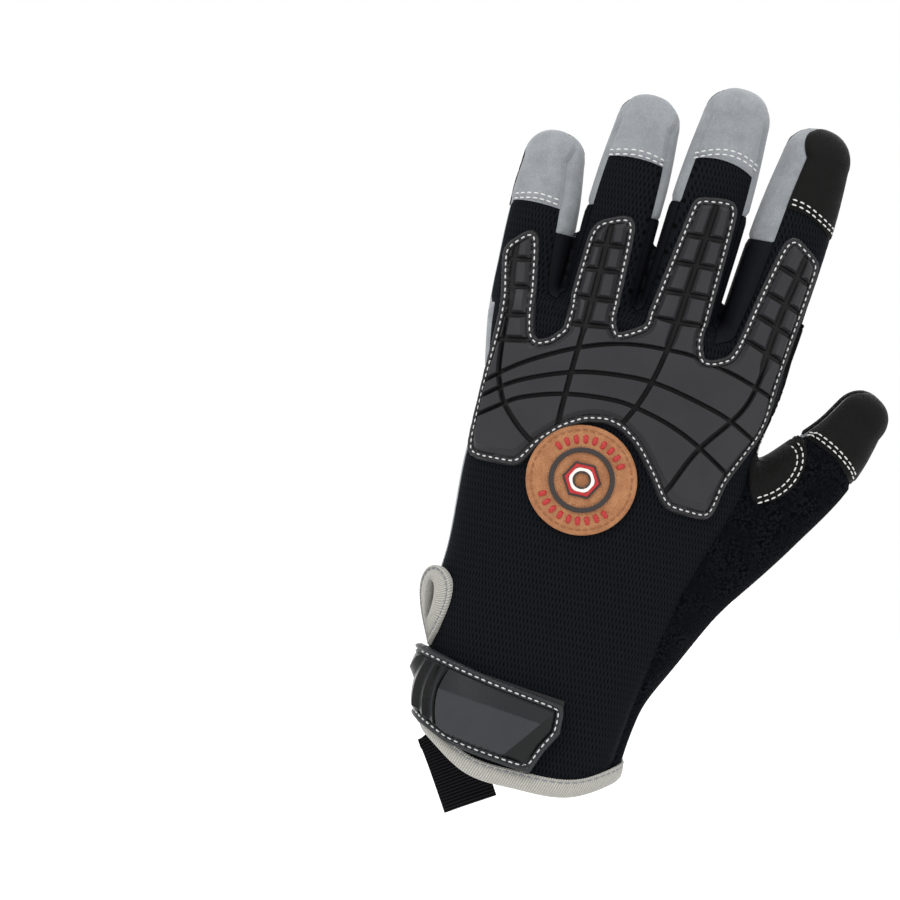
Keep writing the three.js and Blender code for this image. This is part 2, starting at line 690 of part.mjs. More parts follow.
// Wrist strap: round the little finger's side onto the back, with a moulded cover
const strapShares = [[-0.8, 0.21], [-0.4, 0.21], [-0.3, 0.197], [-0.1, 0.183], [0.065, 0.173],
  [0.075, 0.1], [0.02, 0.03], [0, -0.006], [-0.1, 0.007], [-0.2, 0.017], [-0.3, 0.03], [-0.38, 0.047],
  [-0.44, 0.075], [-0.8, 0.09]];
const strapRootShares = [[-0.8, 0.21], [-0.203, 0.215], [-0.203, 0.095], [-0.44, 0.085], [-0.8, 0.09]];
const coverShares = [[-0.8, 0.2], [-0.4, 0.198], [-0.3, 0.184], [-0.1, 0.17], [0.048, 0.158],
  [0.055, 0.1], [0.01, 0.03], [-0.01, 0.01], [-0.1, 0.02], [-0.2, 0.03], [-0.3, 0.043], [-0.38, 0.06],
  [-0.44, 0.088], [-0.8, 0.1]];
const coverGrooves = [-0.452, -0.425, -0.395, -0.355];

function wristStrap() {
  const band = palmForm(clearance + strapThickness).subtract(palmForm(clearance));
  const back = alongY(new THREE.Shape(onHand(strapShares)), -reach, 0);
  const root = alongY(new THREE.Shape(onHand(strapRootShares)), -1, reach);
  const hemKeep = palmForm(clearance + bindingThickness).intersect(belowHem(bindingHeight + clearance));
  return band.intersect(back.add(root)).subtract(hemKeep);
}

function strapCover() {
  const inner = 2 * clearance + strapThickness;
  const band = palmForm(inner + strapCoverThickness).subtract(palmForm(inner));
  const body = band.intersect(alongY(new THREE.Shape(onHand(coverShares)), -reach, 0));
  const grooves = coverGrooves.map((x) => alongY(
    stroke(onHand([[x, 0.3], [x + 0.01, 0.1], [x + 0.05, -0.1]]), grooveWidth),
    -reach,
    0,
  ));
  return body.subtract(joined(grooves).subtract(palmForm(inner + strapCoverThickness / 2)));
}

// Pull tab: webbing that hangs past the hem on the palm side
function pullTab() {
  const inner = clearance + bindingThickness;
  const band = palmForm(inner + tabThickness).subtract(palmForm(inner));
  const line = onHand([[-0.3, 0.055], [-0.155, -0.1]]);
  return band.intersect(alongY(stroke(line, tabWidth), 0, reach));
}

// Finishes
const finishes = {
  knit: { color: 0x16181c, roughness: 0.9 },
  terry: { color: 0x14161a, roughness: 0.95 },
  suede: { color: 0xa0a6aa, roughness: 0.9 },
  leather: { color: 0x16130f, roughness: 0.65 },
  grip: { color: 0x1c1815, roughness: 0.8 },
  moulded: { color: 0x464648, roughness: 0.55 },
  strapCover: { color: 0x35373a, roughness: 0.35 },
  webbing: { color: 0x131315, roughness: 0.85 },
  binding: { color: 0xaaa8a0, roughness: 0.9 },
  badge: { color: 0xbe8255, roughness: 0.7 },
  badgeRelief: { color: 0x2a2320, roughness: 0.6 },
};

function mesh(name, finish, piece) {
  const { vertProperties, triVerts } = main(piece).getMesh();
  const geometry = new THREE.BufferGeometry();
  geometry.setAttribute('position', new THREE.BufferAttribute(new Float32Array(vertProperties), 3));
  geometry.setIndex(new THREE.BufferAttribute(new Uint32Array(triVerts), 1));
  const flat = geometry.toNonIndexed();
  flat.computeVertexNormals();
  const material = new THREE.MeshStandardMaterial({ ...finishes[finish], metalness: 0 });
  const node = new THREE.Mesh(flat, material);
  node.name = name;
  return node;
}

const glove = new THREE.Group();
glove.name = 'work_glove';
glove.add(mesh('back_panel', 'knit', backPanel()));
glove.add(mesh('palm_panel', 'suede', palmPanel()));
glove.add(mesh('thumb_front', 'suede', thumbFront()));
glove.add(mesh('thumb_back', 'terry', thumbBack()));
glove.add(mesh('thumb_cap', 'leather', thumbCap()));
glove.add(mesh('thumb_patch', 'grip', thumbPatch()));
fingers.forEach((finger, i) => {
  glove.add(mesh(`${finger.name}_front`, 'suede', fingerFront(i)));
  glove.add(mesh(`${finger.name}_cap`, finger.name === 'index' ? 'leather' : 'suede', fingerCap(i)));
  glove.add(mesh(`${finger.name}_patch`, finger.name === 'index' ? 'grip' : 'leather', tipPatch(i)));
});
fingers.slice(0, -1).forEach((finger, i) => {
  glove.add(mesh(`fourchette_${finger.name}_${fingers[i + 1].name}`, 'webbing', fourchette(i)));
});
glove.add(mesh('knuckle_pad', 'leather', pad(knucklePadShares, 4, padThickness, palmSpace)));
glove.add(mesh('palm_pad', 'leather', pad(palmPadShares, 4, padThickness, palmSpace)));
glove.add(mesh('thumb_pad', 'leather', pad(thumbPadShares, 6, padThickness, palmSpace)));
glove.add(mesh('index_strip', 'leather', pad(indexStripShares, 2, patchThickness, palmSpace)));
glove.add(mesh('web_patch', 'leather', pad(webShares, 4, patchThickness, backSpace)));
glove.add(mesh('back_armour', 'moulded', backArmour()));
glove.add(mesh('badge_disc', 'badge', badgeDisc()));
glove.add(mesh('badge_ring', 'badgeRelief', badgeRing()));
glove.add(mesh('badge_nut', 'badgeRelief', badgeNut()));
glove.add(mesh('cuff_binding', 'binding', cuffBinding()));
glove.add(mesh('vent_binding', 'binding', ventBinding()));
glove.add(mesh('wrist_strap', 'webbing', wristStrap()));
glove.add(mesh('strap_cover', 'strapCover', strapCover()));
glove.add(mesh('strap_base', 'leather', pad(strapBaseShares, 3, patchThickness, palmSpace)));
glove.add(mesh('pull_tab', 'webbing', pullTab()));

export default glove;
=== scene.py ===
"""A padded work glove for the left hand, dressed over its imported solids.

Shapes are worked out in millimetres in the solids' own frame: fingers up, the back of the hand
towards -Y, the thumb towards +X. Every skin, panel, pad and patch lies on one hand form, which is
a soft union of tubes, and each is cut out of that form's surface along seam lines.
"""
import math
from types import SimpleNamespace

import bpy
import numpy as np
from mathutils import Matrix, Vector


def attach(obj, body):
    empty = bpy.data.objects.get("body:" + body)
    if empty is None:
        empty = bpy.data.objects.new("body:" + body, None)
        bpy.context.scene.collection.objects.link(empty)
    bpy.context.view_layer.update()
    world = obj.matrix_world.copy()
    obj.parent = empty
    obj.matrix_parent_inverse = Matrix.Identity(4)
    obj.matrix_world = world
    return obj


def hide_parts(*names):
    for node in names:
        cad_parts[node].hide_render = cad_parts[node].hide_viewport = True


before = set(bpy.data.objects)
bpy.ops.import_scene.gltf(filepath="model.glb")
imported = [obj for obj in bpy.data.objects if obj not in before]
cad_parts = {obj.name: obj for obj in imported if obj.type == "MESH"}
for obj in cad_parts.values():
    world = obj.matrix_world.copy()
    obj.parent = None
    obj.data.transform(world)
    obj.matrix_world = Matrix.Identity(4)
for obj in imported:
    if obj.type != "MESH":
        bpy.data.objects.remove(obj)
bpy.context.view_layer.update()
MM = 0.001
SKIN_PITCH = 1.2

# Driving dimensions of the hand form, in millimetres, as the solids have them
HAND_LENGTH = 150.0
PALM_WIDTH = 100.0
PALM_DEPTH = 34.0
CUFF_WIDTH = 67.0
CUFF_DEPTH = 44.0
THUMB_LENGTH = 126.0
THUMB_WIDTH = 25.0
THUMB_DEPTH = 23.5
WALL = 1.4
HEM_TILT = math.radians(5)
BINDING_HEIGHT = 5.0

# Palm sections: share of the hand's length, then centre, spread from cuff to palm width, and
# the same for the depth
PALM_ROWS = [
    (-0.2, -0.03, 0, 0),
    (0, -0.032, 0.02, 0),
    (0.1, -0.04, 0.12, 0.1),
    (0.2, -0.04, 0.27, 0.3),
    (0.33, -0.03, 0.5, 0.5),
    (0.46, 0, 0.63, 0.6),
    (0.66, 0.025, 0.85, 0.8),
    (0.83, 0.04, 0.88, 1),
    (0.98, 0.05, 1.04, 1.45),
    (1.04, 0.05, 0.98, 1.9),
    (1.08, 0.05, 0.84, 2.7),
]
PALM_POWER = 2.5
END_POWER = 2.35
PALM_TOP = 154.0
PALM_END = 10.0


def finger(name, length, width, depth, root_x, lean, rise, roll, cap, patch, wing):
    """One finger: its sizes, its place as shares of the palm, and where its pieces begin."""
    tip = 0.44 * width
    roll = math.radians(roll)
    return SimpleNamespace(
        name=name,
        length=length,
        width=width,
        depth=depth,
        root_x=root_x * PALM_WIDTH,
        run=(lean * length, length - tip),
        rise=rise * PALM_DEPTH,
        roll=roll,
        tip=tip,
        cap=FINGER_ROOT + cap * length,
        patch=FINGER_ROOT + patch * length,
        wing=FINGER_ROOT + wing * length,
    )


FINGER_ROOT = 0.973 * HAND_LENGTH
FINGER_CURL = 0.05
FINGERS = [
    finger("pinky", 70, 24, 19, -0.362, -0.02, 0.1, -25, 0.61, 0.59, 0.5),
    finger("ring", 89, 25.4, 20, -0.127, 0.042, 0.02, -5, 0.725, 0.63, 0.53),
    finger("middle", 98, 26.8, 20.5, 0.138, 0.067, 0, 3, 0.7, 0.58, 0.56),
    finger("index", 91, 26.8, 20.5, 0.417, 0.095, 0.06, 28, 0.62, 0.56, 0.53),
]
# Rows of the two outer fingers
PINKY = 0
INDEX = 3

# Finger sections: share along the finger, then shares of its width and depth
FINGER_ROWS = [(-0.3, 0.7, 0.8), (0.05, 0.99, 1.22), (0.4, 1.03, 1.04), (0.85, 0.96, 0.96), (1, 0.88, 0.9)]
FINGER_POWER = 2.15
SEAM_SHARE = 0.58

# Thumb sections: share along its line, offset across it, width, depth and lift to the palm side
THUMB_ROOT = (20.0, 46.05)
THUMB_ANGLE = math.radians(33)
THUMB_ROWS = [
    (-0.1, 0, 1.1, 1.05, 0.06),
    (0, 0, 1.38, 1.36, 0.09),
    (0.29, -0.06, 1.48, 1.36, 0.15),
    (0.55, 0.1, 1.24, 1.2, 0.2),
    (0.77, 0.19, 1, 1, 0.29),
    (0.85, 0.18, 0.86, 0.87, 0.32),
    (0.925, 0.12, 0.74, 0.77, 0.35),
]
THUMB_POWER = 2.15

# Fillets where the fingers meet each other, the palm and the thumb, and the heights under which
# no finger and no thumb is looked for
FINGER_FILLET = 0.8
KNUCKLE_FILLET = 2.5
THUMB_FILLET = 9.0
FINGERS_FROM = 110.0
THUMB_FROM = 15.0

# Side seam between the back of the hand and the palm, seen along Z
SIDE_SEAM = [(-80, -2.7), (-30, -1.4), (25, 0.7), (55, 2.7), (70, 8.5), (100, 14.3), (130, 17)]
BACK_TOP = 153.0
PALM_SKIN_TOP = 160.0


def smooth_table(rows, count=400):
    """A table read as smooth curves of its first column: cubics through the rows, each with the
    slope between its neighbours."""
    rows = np.asarray(rows, float)
    at = rows[:, 0]
    slopes = np.gradient(rows, at, axis=0)
    fine = np.linspace(at[0], at[-1], count)
    k = np.clip(np.searchsorted(at, fine, side="right") - 1, 0, len(at) - 2)
    span = (at[k + 1] - at[k])[:, None]
    t = ((fine - at[k]) / (at[k + 1] - at[k]))[:, None]
    keep = 2 * t**3 - 3 * t**2 + 1
    rise = t**3 - 2 * t**2 + t
    fall = t**3 - t**2
    return keep * rows[k] + (1 - keep) * rows[k + 1] + span * (rise * slopes[k] + fall * slopes[k + 1])


def read(table, at):
    """Each column of a smooth table at the given places."""
    return [np.interp(at, table[:, 0], table[:, c]) for c in range(1, table.shape[1])]


PALM_CURVES = smooth_table(PALM_ROWS)
FINGER_CURVES = smooth_table(FINGER_ROWS)
THUMB_CURVES = smooth_table(THUMB_ROWS)


def tube_distance(u, v, half_width, half_depth, power, past, end):
    """Distance in mm to a tube with rounded ends. In a section, how far out a point lies is
    (|u/a|^n + |v/b|^n)^(1/n), which is 1 on the skin. Past the last section, that and the share
    of the end's height combine in the same way. The distance is that less 1, over its slope."""
    p = np.abs(u) / half_width
    q = np.abs(v) / half_depth
    pn = p ** (power - 1)
    qn = q ** (power - 1)
    out = (p * pn + q * qn) ** (1 / power) + 1e-6
    slope = np.hypot(pn / half_width, qn / half_depth) / out ** (power - 1)
    share = np.maximum(past, 0) / end
    m = END_POWER
    whole = (out**m + share**2) ** (1 / m)
    side = (out / whole) ** (m - 1) * slope
    ahead = (2 / m) * share / whole ** (m - 1) / end
    return (whole - 1) / np.hypot(side, ahead)


def palm_distance(x, y, z):
    """Distance to the palm: upright sections of a squarish ellipse."""
    centre, spread, flat = read(PALM_CURVES, z / HAND_LENGTH)
    half_width = (CUFF_WIDTH + (PALM_WIDTH - CUFF_WIDTH) * spread) / 2
    half_depth = (CUFF_DEPTH + (PALM_DEPTH - CUFF_DEPTH) * flat) / 2
    across = x - centre * PALM_WIDTH
    return tube_distance(across, y, half_width, half_depth, PALM_POWER, z - PALM_TOP, PALM_END)


def finger_place(f, x, y, z):
    """Where a point is by one finger: share along it, across it, and towards the palm."""
    reach = math.hypot(*f.run)
    ax, az = f.run[0] / reach, f.run[1] / reach
    dx = x - f.root_x
    dz = z - FINGER_ROOT
    along = (dx * ax + dz * az) / reach
    return along, dx * az - dz * ax, y - f.rise - FINGER_CURL * f.length * along * np.abs(along)


def finger_distance(f, x, y, z):
    """Distance to a finger: a straight line of sections with a round tip and a buried root."""
    along, u, v = finger_place(f, x, y, z)
    width, depth = read(FINGER_CURVES, along)
    reach = math.hypot(*f.run)
    past = np.maximum((along - 1) * reach, (-0.2 - along) * reach)
    return tube_distance(u, v, width * f.width / 2, depth * f.depth / 2, FINGER_POWER, past, f.tip)


def thumb_distance(x, y, z):
    """Distance to the thumb: sections across a leaning line that bows outwards."""
    s, c = math.sin(THUMB_ANGLE), math.cos(THUMB_ANGLE)
    dx = x - THUMB_ROOT[0]
    dz = z - THUMB_ROOT[1]
    along = (dx * s + dz * c) / THUMB_LENGTH
    out, width, depth, lift = read(THUMB_CURVES, along)
    u = dx * c - dz * s - out * THUMB_WIDTH
    v = y - lift * PALM_DEPTH
    last = THUMB_ROWS[-1][0]
    past = np.maximum(along - last, -0.05 - along) * THUMB_LENGTH
    end = (1 - last) * THUMB_LENGTH
    return tube_distance(u, v, width * THUMB_WIDTH / 2, depth * THUMB_DEPTH / 2, THUMB_POWER, past, end)


def soft_union(a, b, radius):
    """The nearer of two distances, with a fillet where they meet."""
    h = np.clip(0.5 + 0.5 * (b - a) / radius, 0, 1)
    return b + (a - b) * h - radius * h * (1 - h)


def hand(p):
    """Distance from points (n, 3) to the glove's outer skin, negative inside."""
    x, y, z = np.ascontiguousarray(p.T)
    d = palm_distance(x, y, z)
    near = np.flatnonzero(z > FINGERS_FROM)
    if near.size:
        fingers = finger_distance(FINGERS[0], x[near], y[near], z[near])
        for f in FINGERS[1:]:
            one = finger_distance(f, x[near], y[near], z[near])
            fingers = soft_union(fingers, one, FINGER_FILLET)
        d[near] = soft_union(d[near], fingers, KNUCKLE_FILLET)
    near = np.flatnonzero((x > 0) & (z > THUMB_FROM))
    if near.size:
        d[near] = soft_union(d[near], thumb_distance(x[near], y[near], z[near]), THUMB_FILLET)
    return d


def outward(p, step=0.15):
    """Unit normals of the hand form at points, from differences of its distance."""
    slope = np.empty_like(p)
    for axis in range(3):
        shift = np.zeros(3)
        shift[axis] = step
        slope[:, axis] = hand(p + shift) - hand(p - shift)
    return slope / (np.linalg.norm(slope, axis=1, keepdims=True) + 1e-12)


def settle(p, rounds=3):
    """Points moved along the normals onto the skin, with their normals there."""
    for _ in range(rounds):
        out = outward(p)
        p = p - out * hand(p)[:, None]
    return p, outward(p)


def onto(line, side):
    """A line of (x, z) dropped on the back (side -1) or the palm (side 1) of the hand form. It
    comes from far off along Y and stops at the skin."""
    line = np.asarray(line, float)
    p = np.stack([line[:, 0], np.full(len(line), side * 34.0), line[:, 1]], 1)
    for _ in range(40):
        d = hand(p)
        stuck = side * p[:, 1] < -2
        p[:, 1] -= side * np.where(stuck, 0, 0.85 * d)
    return settle(p, 4)


# Lines


def curved(points, closed=False, step=0.8, rounding=0.5):
    """A line through corner points with its corners rounded, resampled at an even step. Each
    corner is cut twice, at a share of its sides."""
    p = np.asarray(points, float)
    for _ in range(2):
        nxt = np.roll(p, -1, 0) if closed else p[1:]
        cur = p if closed else p[:-1]
        share = rounding / 2
        first = cur * (1 - share) + nxt * share
        second = cur * share + nxt * (1 - share)
        pair = np.stack([first, second], 1).reshape(-1, p.shape[1])
        p = pair if closed else np.concatenate([p[:1], pair[1:-1], p[-1:]])
    if closed:
        p = np.concatenate([p, p[:1]])
    return even(p, step)[: -1 if closed else None]


def even(p, step):
    """A line resampled at even steps."""
    run = np.concatenate([[0], np.cumsum(np.linalg.norm(np.diff(p, axis=0), axis=1))])
    count = max(int(round(run[-1] / step)), 2)
    at = np.linspace(0, run[-1], count + 1)
    return np.stack([np.interp(at, run, p[:, c]) for c in range(p.shape[1])], 1)


def line_distance(p, line, closed=False):
    """Distance from points to a line of straight steps, in any number of dimensions: to the
    nearest place on each step, and the least of those."""
    a = line if closed else line[:-1]
    b = np.roll(line, -1, 0) if closed else line[1:]
    d = b - a
    length = (d * d).sum(1) + 1e-12
    best = np.full(len(p), 1e9)
    size = max(1, 4_000_000 // len(a))
    for i in range(0, len(p), size):
        q = p[i : i + size]
        along = q @ d.T - (a * d).sum(1)
        t = np.clip(along / length, 0, 1)
        square = (q * q).sum(1)[:, None] - 2 * (q @ a.T) + (a * a).sum(1) - 2 * t * along + t * t * length
        best[i : i + size] = square.min(1)
    return np.sqrt(np.maximum(best, 0))


def inside(p, line):
    """Whether (x, z) points lie in a closed outline, by counting the sides to their right."""
    x, z = p[:, 0], p[:, 1]
    hits = np.zeros(len(p), bool)
    for (x0, z0), (x1, z1) in zip(line, np.roll(line, -1, 0)):
        if z0 != z1:
            crosses = (z0 > z) != (z1 > z)
            hits ^= crosses & (x < (x1 - x0) * (z - z0) / (z1 - z0) + x0)
    return hits


def outline_field(p, outline, side):
    """Distance in the skin to an outline drawn on one side of the hand, negative inside."""
    flat = p[:, [0, 2]]
    margin = 12
    near = ((flat > outline.min(0) - margin) & (flat < outline.max(0) + margin)).all(1)
    near &= side * p[:, 1] > -9
    field = np.full(len(p), 50.0)
    index = np.flatnonzero(near)
    line, _ = onto(outline, side)
    d = line_distance(p[index], line, closed=True)
    field[index] = np.where(inside(flat[index], outline), -d, d)
    return field


def beside(p, line):
    """Signed distance in (x, z) to an open line that runs down the hand, positive towards +X."""
    flat = p[:, [0, 2]]
    order = np.argsort(line[:, 1])
    edge = np.interp(flat[:, 1], line[order, 1], line[order, 0])
    d = line_distance(flat, line)
    return np.where(flat[:, 0] > edge, d, -d)


# Meshes as arrays: named values at the points, and triangles


def mixed(data, a, b, t):
    """Every value between points a and b, at a share t of the way."""
    return {k: v[a] + (v[b] - v[a]) * (t if v.ndim == 1 else t[:, None]) for k, v in data.items()}


def extended(data, extra):
    """Every value of a mesh with those of more points after it."""
    return {k: np.concatenate([v, extra[k]]) for k, v in data.items()}


def compact(data, tri):
    """The mesh without the points that no triangle uses."""
    used, tri = np.unique(tri, return_inverse=True)
    return {k: v[used] for k, v in data.items()}, tri.reshape(-1, 3)


def cut(data, tri, name, level=0.0, both=False):
    """The part of a mesh where one of its values is below a level. A triangle that the level
    crosses is cut in three along it, so the edge is clean. With both, all parts are kept."""
    value = data[name] - level
    value = np.where(np.abs(value) < 1e-3, -1e-3, value)
    out = value[tri] > 0
    count = out.sum(1)
    whole = tri if both else tri[count == 0]
    if both:
        whole = tri[(count == 0) | (count == 3)]
    crossed = (count == 1) | (count == 2)
    m, out, count = tri[crossed], out[crossed], count[crossed]
    if not len(m):
        return compact(data, whole)
    lone = np.where(count == 1, out.argmax(1), (~out).argmax(1))
    rows = np.arange(len(m))
    a, b, c = m[rows, lone], m[rows, (lone + 1) % 3], m[rows, (lone + 2) % 3]
    ends = np.sort(np.concatenate([np.stack([a, b], 1), np.stack([a, c], 1)]), 1)
    key, back = np.unique(ends[:, 0] * len(value) + ends[:, 1], return_inverse=True)
    lo, hi = key // len(value), key % len(value)
    t = value[lo] / (value[lo] - value[hi])
    new = back.reshape(-1) + len(value)
    ab, ac = new[: len(m)], new[len(m) :]
    tip = np.stack([a, ab, ac], 1)
    rest = np.concatenate([np.stack([ab, b, c], 1), np.stack([ab, c, ac], 1)])
    lone_in = count == 2
    keep = [whole, tip if both else tip[lone_in], rest if both else rest[np.tile(~lone_in, 2)]]
    return compact(extended(data, mixed(data, lo, hi, t)), np.concatenate(keep))


def finer(data, tri):
    """The mesh with each triangle split in four at the middles of its sides."""
    sides = np.sort(np.concatenate([tri[:, [0, 1]], tri[:, [1, 2]], tri[:, [2, 0]]]), 1)
    n = len(data["place"])
    key, back = np.unique(sides[:, 0] * n + sides[:, 1], return_inverse=True)
    half = np.full(len(key), 0.5)
    data = extended(data, mixed(data, key // n, key % n, half))
    ab, bc, ca = (back.reshape(-1) + n).reshape(3, -1)
    a, b, c = tri.T
    split = [[a, ab, ca], [ab, b, bc], [ca, bc, c], [ab, bc, ca]]
    return data, np.concatenate([np.stack(s, 1) for s in split])


def borders(tri):
    """The directed sides that only one triangle has."""
    side = np.concatenate([tri[:, [0, 1]], tri[:, [1, 2]], tri[:, [2, 0]]])
    n = int(tri.max()) + 1
    forth = side[:, 0] * n + side[:, 1]
    back = side[:, 1] * n + side[:, 0]
    return side[~np.isin(forth, back)]


def surface_net(field, low, pitch):
    """The zero surface of a field sampled on a grid (nx, ny, nz). Each grid cell that it passes
    has one point, the mean of the crossings on the cell's sides, and each crossed side has one
    face of the four cells round it."""
    shape = np.array(field.shape) - 1
    cells = np.zeros((int(shape.prod()), 4))
    faces = []
    for axis in range(3):
        a = np.moveaxis(field, axis, 0)
        lo, hi = a[:-1], a[1:]
        i, j, k = np.nonzero((lo < 0) != (hi < 0))
        t = lo[i, j, k] / (lo[i, j, k] - hi[i, j, k])
        corner = np.stack([i, j, k], 1).astype(float)
        corner[:, 0] += t
        order = [axis] + [n for n in range(3) if n != axis]
        spot = np.empty_like(corner)
        spot[:, order] = corner
        rising = hi[i, j, k] > lo[i, j, k]
        ring = []
        ok = (j > 0) & (k > 0) & (j < a.shape[1] - 1) & (k < a.shape[2] - 1)
        for dj, dk in ((0, 0), (-1, 0), (-1, -1), (0, -1)):
            cell = np.stack([i, j + dj, k + dk], 1)
            full = np.empty_like(cell)
            full[:, order] = cell
            index = (full[:, 0] * shape[1] + full[:, 1]) * shape[2] + full[:, 2]
            valid = ((full >= 0) & (full < shape)).all(1)
            for c in range(3):
                cells[:, c] += np.bincount(index[valid], spot[valid, c], len(cells))
            cells[:, 3] += np.bincount(index[valid], minlength=len(cells))
            ring.append(index)
        quad = np.stack(ring, 1)[ok]
        flip = rising[ok] ^ (axis == 1)
        faces.append(np.where(flip[:, None], quad, quad[:, ::-1]))
    quad = np.concatenate(faces)
    used, quad = np.unique(quad, return_inverse=True)
    quad = quad.reshape(-1, 4)
    p = cells[used, :3] / cells[used, 3:4] * pitch + low
    return p, np.concatenate([quad[:, [0, 1, 2]], quad[:, [0, 2, 3]]])


def evened(p, tri, rounds=2):
    """Points drawn to the mean of their neighbours and back onto the skin, for even triangles."""
    side = np.concatenate([tri[:, [0, 1]], tri[:, [1, 2]], tri[:, [2, 0]]])
    for _ in range(rounds):
        count = np.bincount(side[:, 0], minlength=len(p))
        mean = np.stack([np.bincount(side[:, 0], p[side[:, 1], c], len(p)) for c in range(3)], 1)
        p = 0.4 * p + 0.6 * mean / np.maximum(count, 1)[:, None]
        p, out = settle(p, 1)
    return p, out


def skin_mesh(pitch):
    """The outer skin of the whole glove as one mesh of even triangles."""
    low = np.array([-56.0, -34.0, -16.0])
    high = np.array([104.0, 34.0, 252.0])
    axes = [np.arange(low[k], high[k], pitch) for k in range(3)]
    grid = np.stack(np.meshgrid(*axes, indexing="ij"), -1)
    field = hand(grid.reshape(-1, 3)).reshape(grid.shape[:3])
    p, tri = surface_net(field, low, pitch)
    p, out = evened(p, tri)
    a, b, c = p[tri[:, 0]], p[tri[:, 1]], p[tri[:, 2]]
    facing = (np.cross(b - a, c - a) * out[tri[:, 0]]).sum(1)
    if facing.sum() < 0:
        tri = tri[:, ::-1]
    return {"place": p, "out": out}, tri


skin, skin_tri = skin_mesh(SKIN_PITCH)


# Seams. Each field below is a distance in mm, negative on the named piece's side of its seams.

THUMB_SEAM = np.array([(62, 156), (56, 124), (53, 121), (50, 105), (44, 88), (38, 70), (34, 50), (31, 30),
                       (28, 6), (26, -30)], float)
THUMB_TIP = np.array([(60, 136), (67, 133), (80, 127), (88, 119.5), (100, 111), (110, 160), (63, 160)], float)
HEM_LINE = smooth_table([(-80, 12), (-36, 5.2), (-23, -1.8), (-3, -3.7), (18, -2.1), (31, 4.2), (80, 13.5)])
SLIT_MIDDLE = -0.15 * PALM_DEPTH
SLIT_WIDTH = 3.4
SLIT_TOP = 56.0
THUMB_PANEL_TOP = 158.0
FOURCHETTE_FOOT = 140.0
# How far each finger cap's lower edge bows up in its middle, and how it tilts across
CAP_BOW = [(1, 0), (1.5, 0), (3.2, -0.1), (2.6, -0.35)]


def above_hem(p):
    """Height over the curved hem, which lies in a tilted plane."""
    level = p[:, 2] * math.cos(HEM_TILT) - p[:, 1] * math.sin(HEM_TILT)
    return level - read(HEM_LINE, p[:, 0])[0]


def side_seam(p):
    """How far a point lies on the palm side of the seam that runs up both sides of the hand."""
    line = np.array(SIDE_SEAM, float)
    return p[:, 1] - np.interp(p[:, 0], line[:, 0], line[:, 1])


def least(*fields):
    """The lowest field at each point, which is inside where any of them is."""
    return np.minimum.reduce(fields)


def most(*fields):
    """The highest field at each point, which is inside only where all of them are."""
    return np.maximum.reduce(fields)


def finger_fields(p):
    """For each finger: its own zone, its dorsal strip, its palm strip, cap, wings and patch."""
    x, y, z = p.T
    distance = np.stack([finger_distance(f, x, y, z) for f in FINGERS])
    found = []
    for i, f in enumerate(FINGERS):
        along, u, v = finger_place(f, x, y, z)
        reach = math.hypot(*f.run)
        past = np.clip((along - 1) * reach / f.tip, 0, 1)
        dorsal = u * math.sin(f.roll) - v * math.cos(f.roll)
        across = u * math.cos(f.roll) + v * math.sin(f.roll)
        strip = SEAM_SHARE * f.depth / 2 * (1 - past) - dorsal
        zone = distance[i] - np.delete(distance, i, 0).min(0)
        bow, tilt = CAP_BOW[i]
        cap_line = f.cap + bow * (1 - (2 * across / f.width) ** 2) + tilt * across
        low = 0.5 if i == PINKY else 0.41
        high = 0.5 if i == INDEX else 0.41
        patch = most(u - high * f.width, -low * f.width - u, 0.1 * f.depth - v, f.patch - z)
        found.append(SimpleNamespace(
            zone=zone,
            u=u,
            strip=strip,
            front=SEAM_SHARE * f.depth / 2 - v,
            cap=most(strip, zone, cap_line - z),
            wing=most(zone, f.wing - z, -strip),
            patch=most(patch, zone),
        ))
    return found


def seam_fields(p):
    """Every panel's field at points on the skin."""
    z = p[:, 2]
    f = finger_fields(p)
    seam = side_seam(p)
    slit = np.where(p[:, 0] < 0, least(SLIT_WIDTH / 2 - np.abs(p[:, 1] - SLIT_MIDDLE), SLIT_TOP - z), -50)
    edge = most(slit, 2 - above_hem(p))
    strips = least(*[most(a.strip, a.zone, BACK_TOP - z) for a in f])
    caps = least(*[a.cap for a in f])
    thumb = most(-beside(p, THUMB_SEAM), z - THUMB_PANEL_TOP)
    tip = line_distance(p[:, [0, 2]], THUMB_TIP, closed=True)
    tip = np.where(inside(p[:, [0, 2]], THUMB_TIP), -tip, tip)
    back = least(most(seam, z - BACK_TOP), strips)
    palm = most(-seam, z - PALM_SKIN_TOP, -strips)
    fronts = least(*[most(a.front, a.zone, PALM_SKIN_TOP - 3 - z) for a in f])
    wings = least(*[a.wing for a in f])
    outer = least(most(f[PINKY].zone, f[PINKY].u), most(f[INDEX].zone, -f[INDEX].u))
    outer = most(outer, -strips, BACK_TOP - z)
    suede = least(palm, fronts, wings, outer)
    fields = {
        "edge": edge,
        "back_panel": most(back, -caps, -thumb),
        "suede": suede,
        "thumb_back": most(seam, thumb, -tip),
        "thumb_cap": most(seam, thumb, tip),
        "thumb_patch": most(tip, 1.2 - seam),
    }
    for a, g in zip(f, FINGERS):
        fields[g.name + "_cap"] = a.cap
        fields[g.name + "_patch"] = a.patch
    for i in range(3):
        pair = least(most(f[i].zone, -f[i].u), most(f[i + 1].zone, f[i + 1].u))
        between = f"fourchette_{FINGERS[i].name}_{FINGERS[i + 1].name}"
        fields[between] = most(-back, -suede, -caps, pair, FOURCHETTE_FOOT - z)
    return fields


# Blender objects


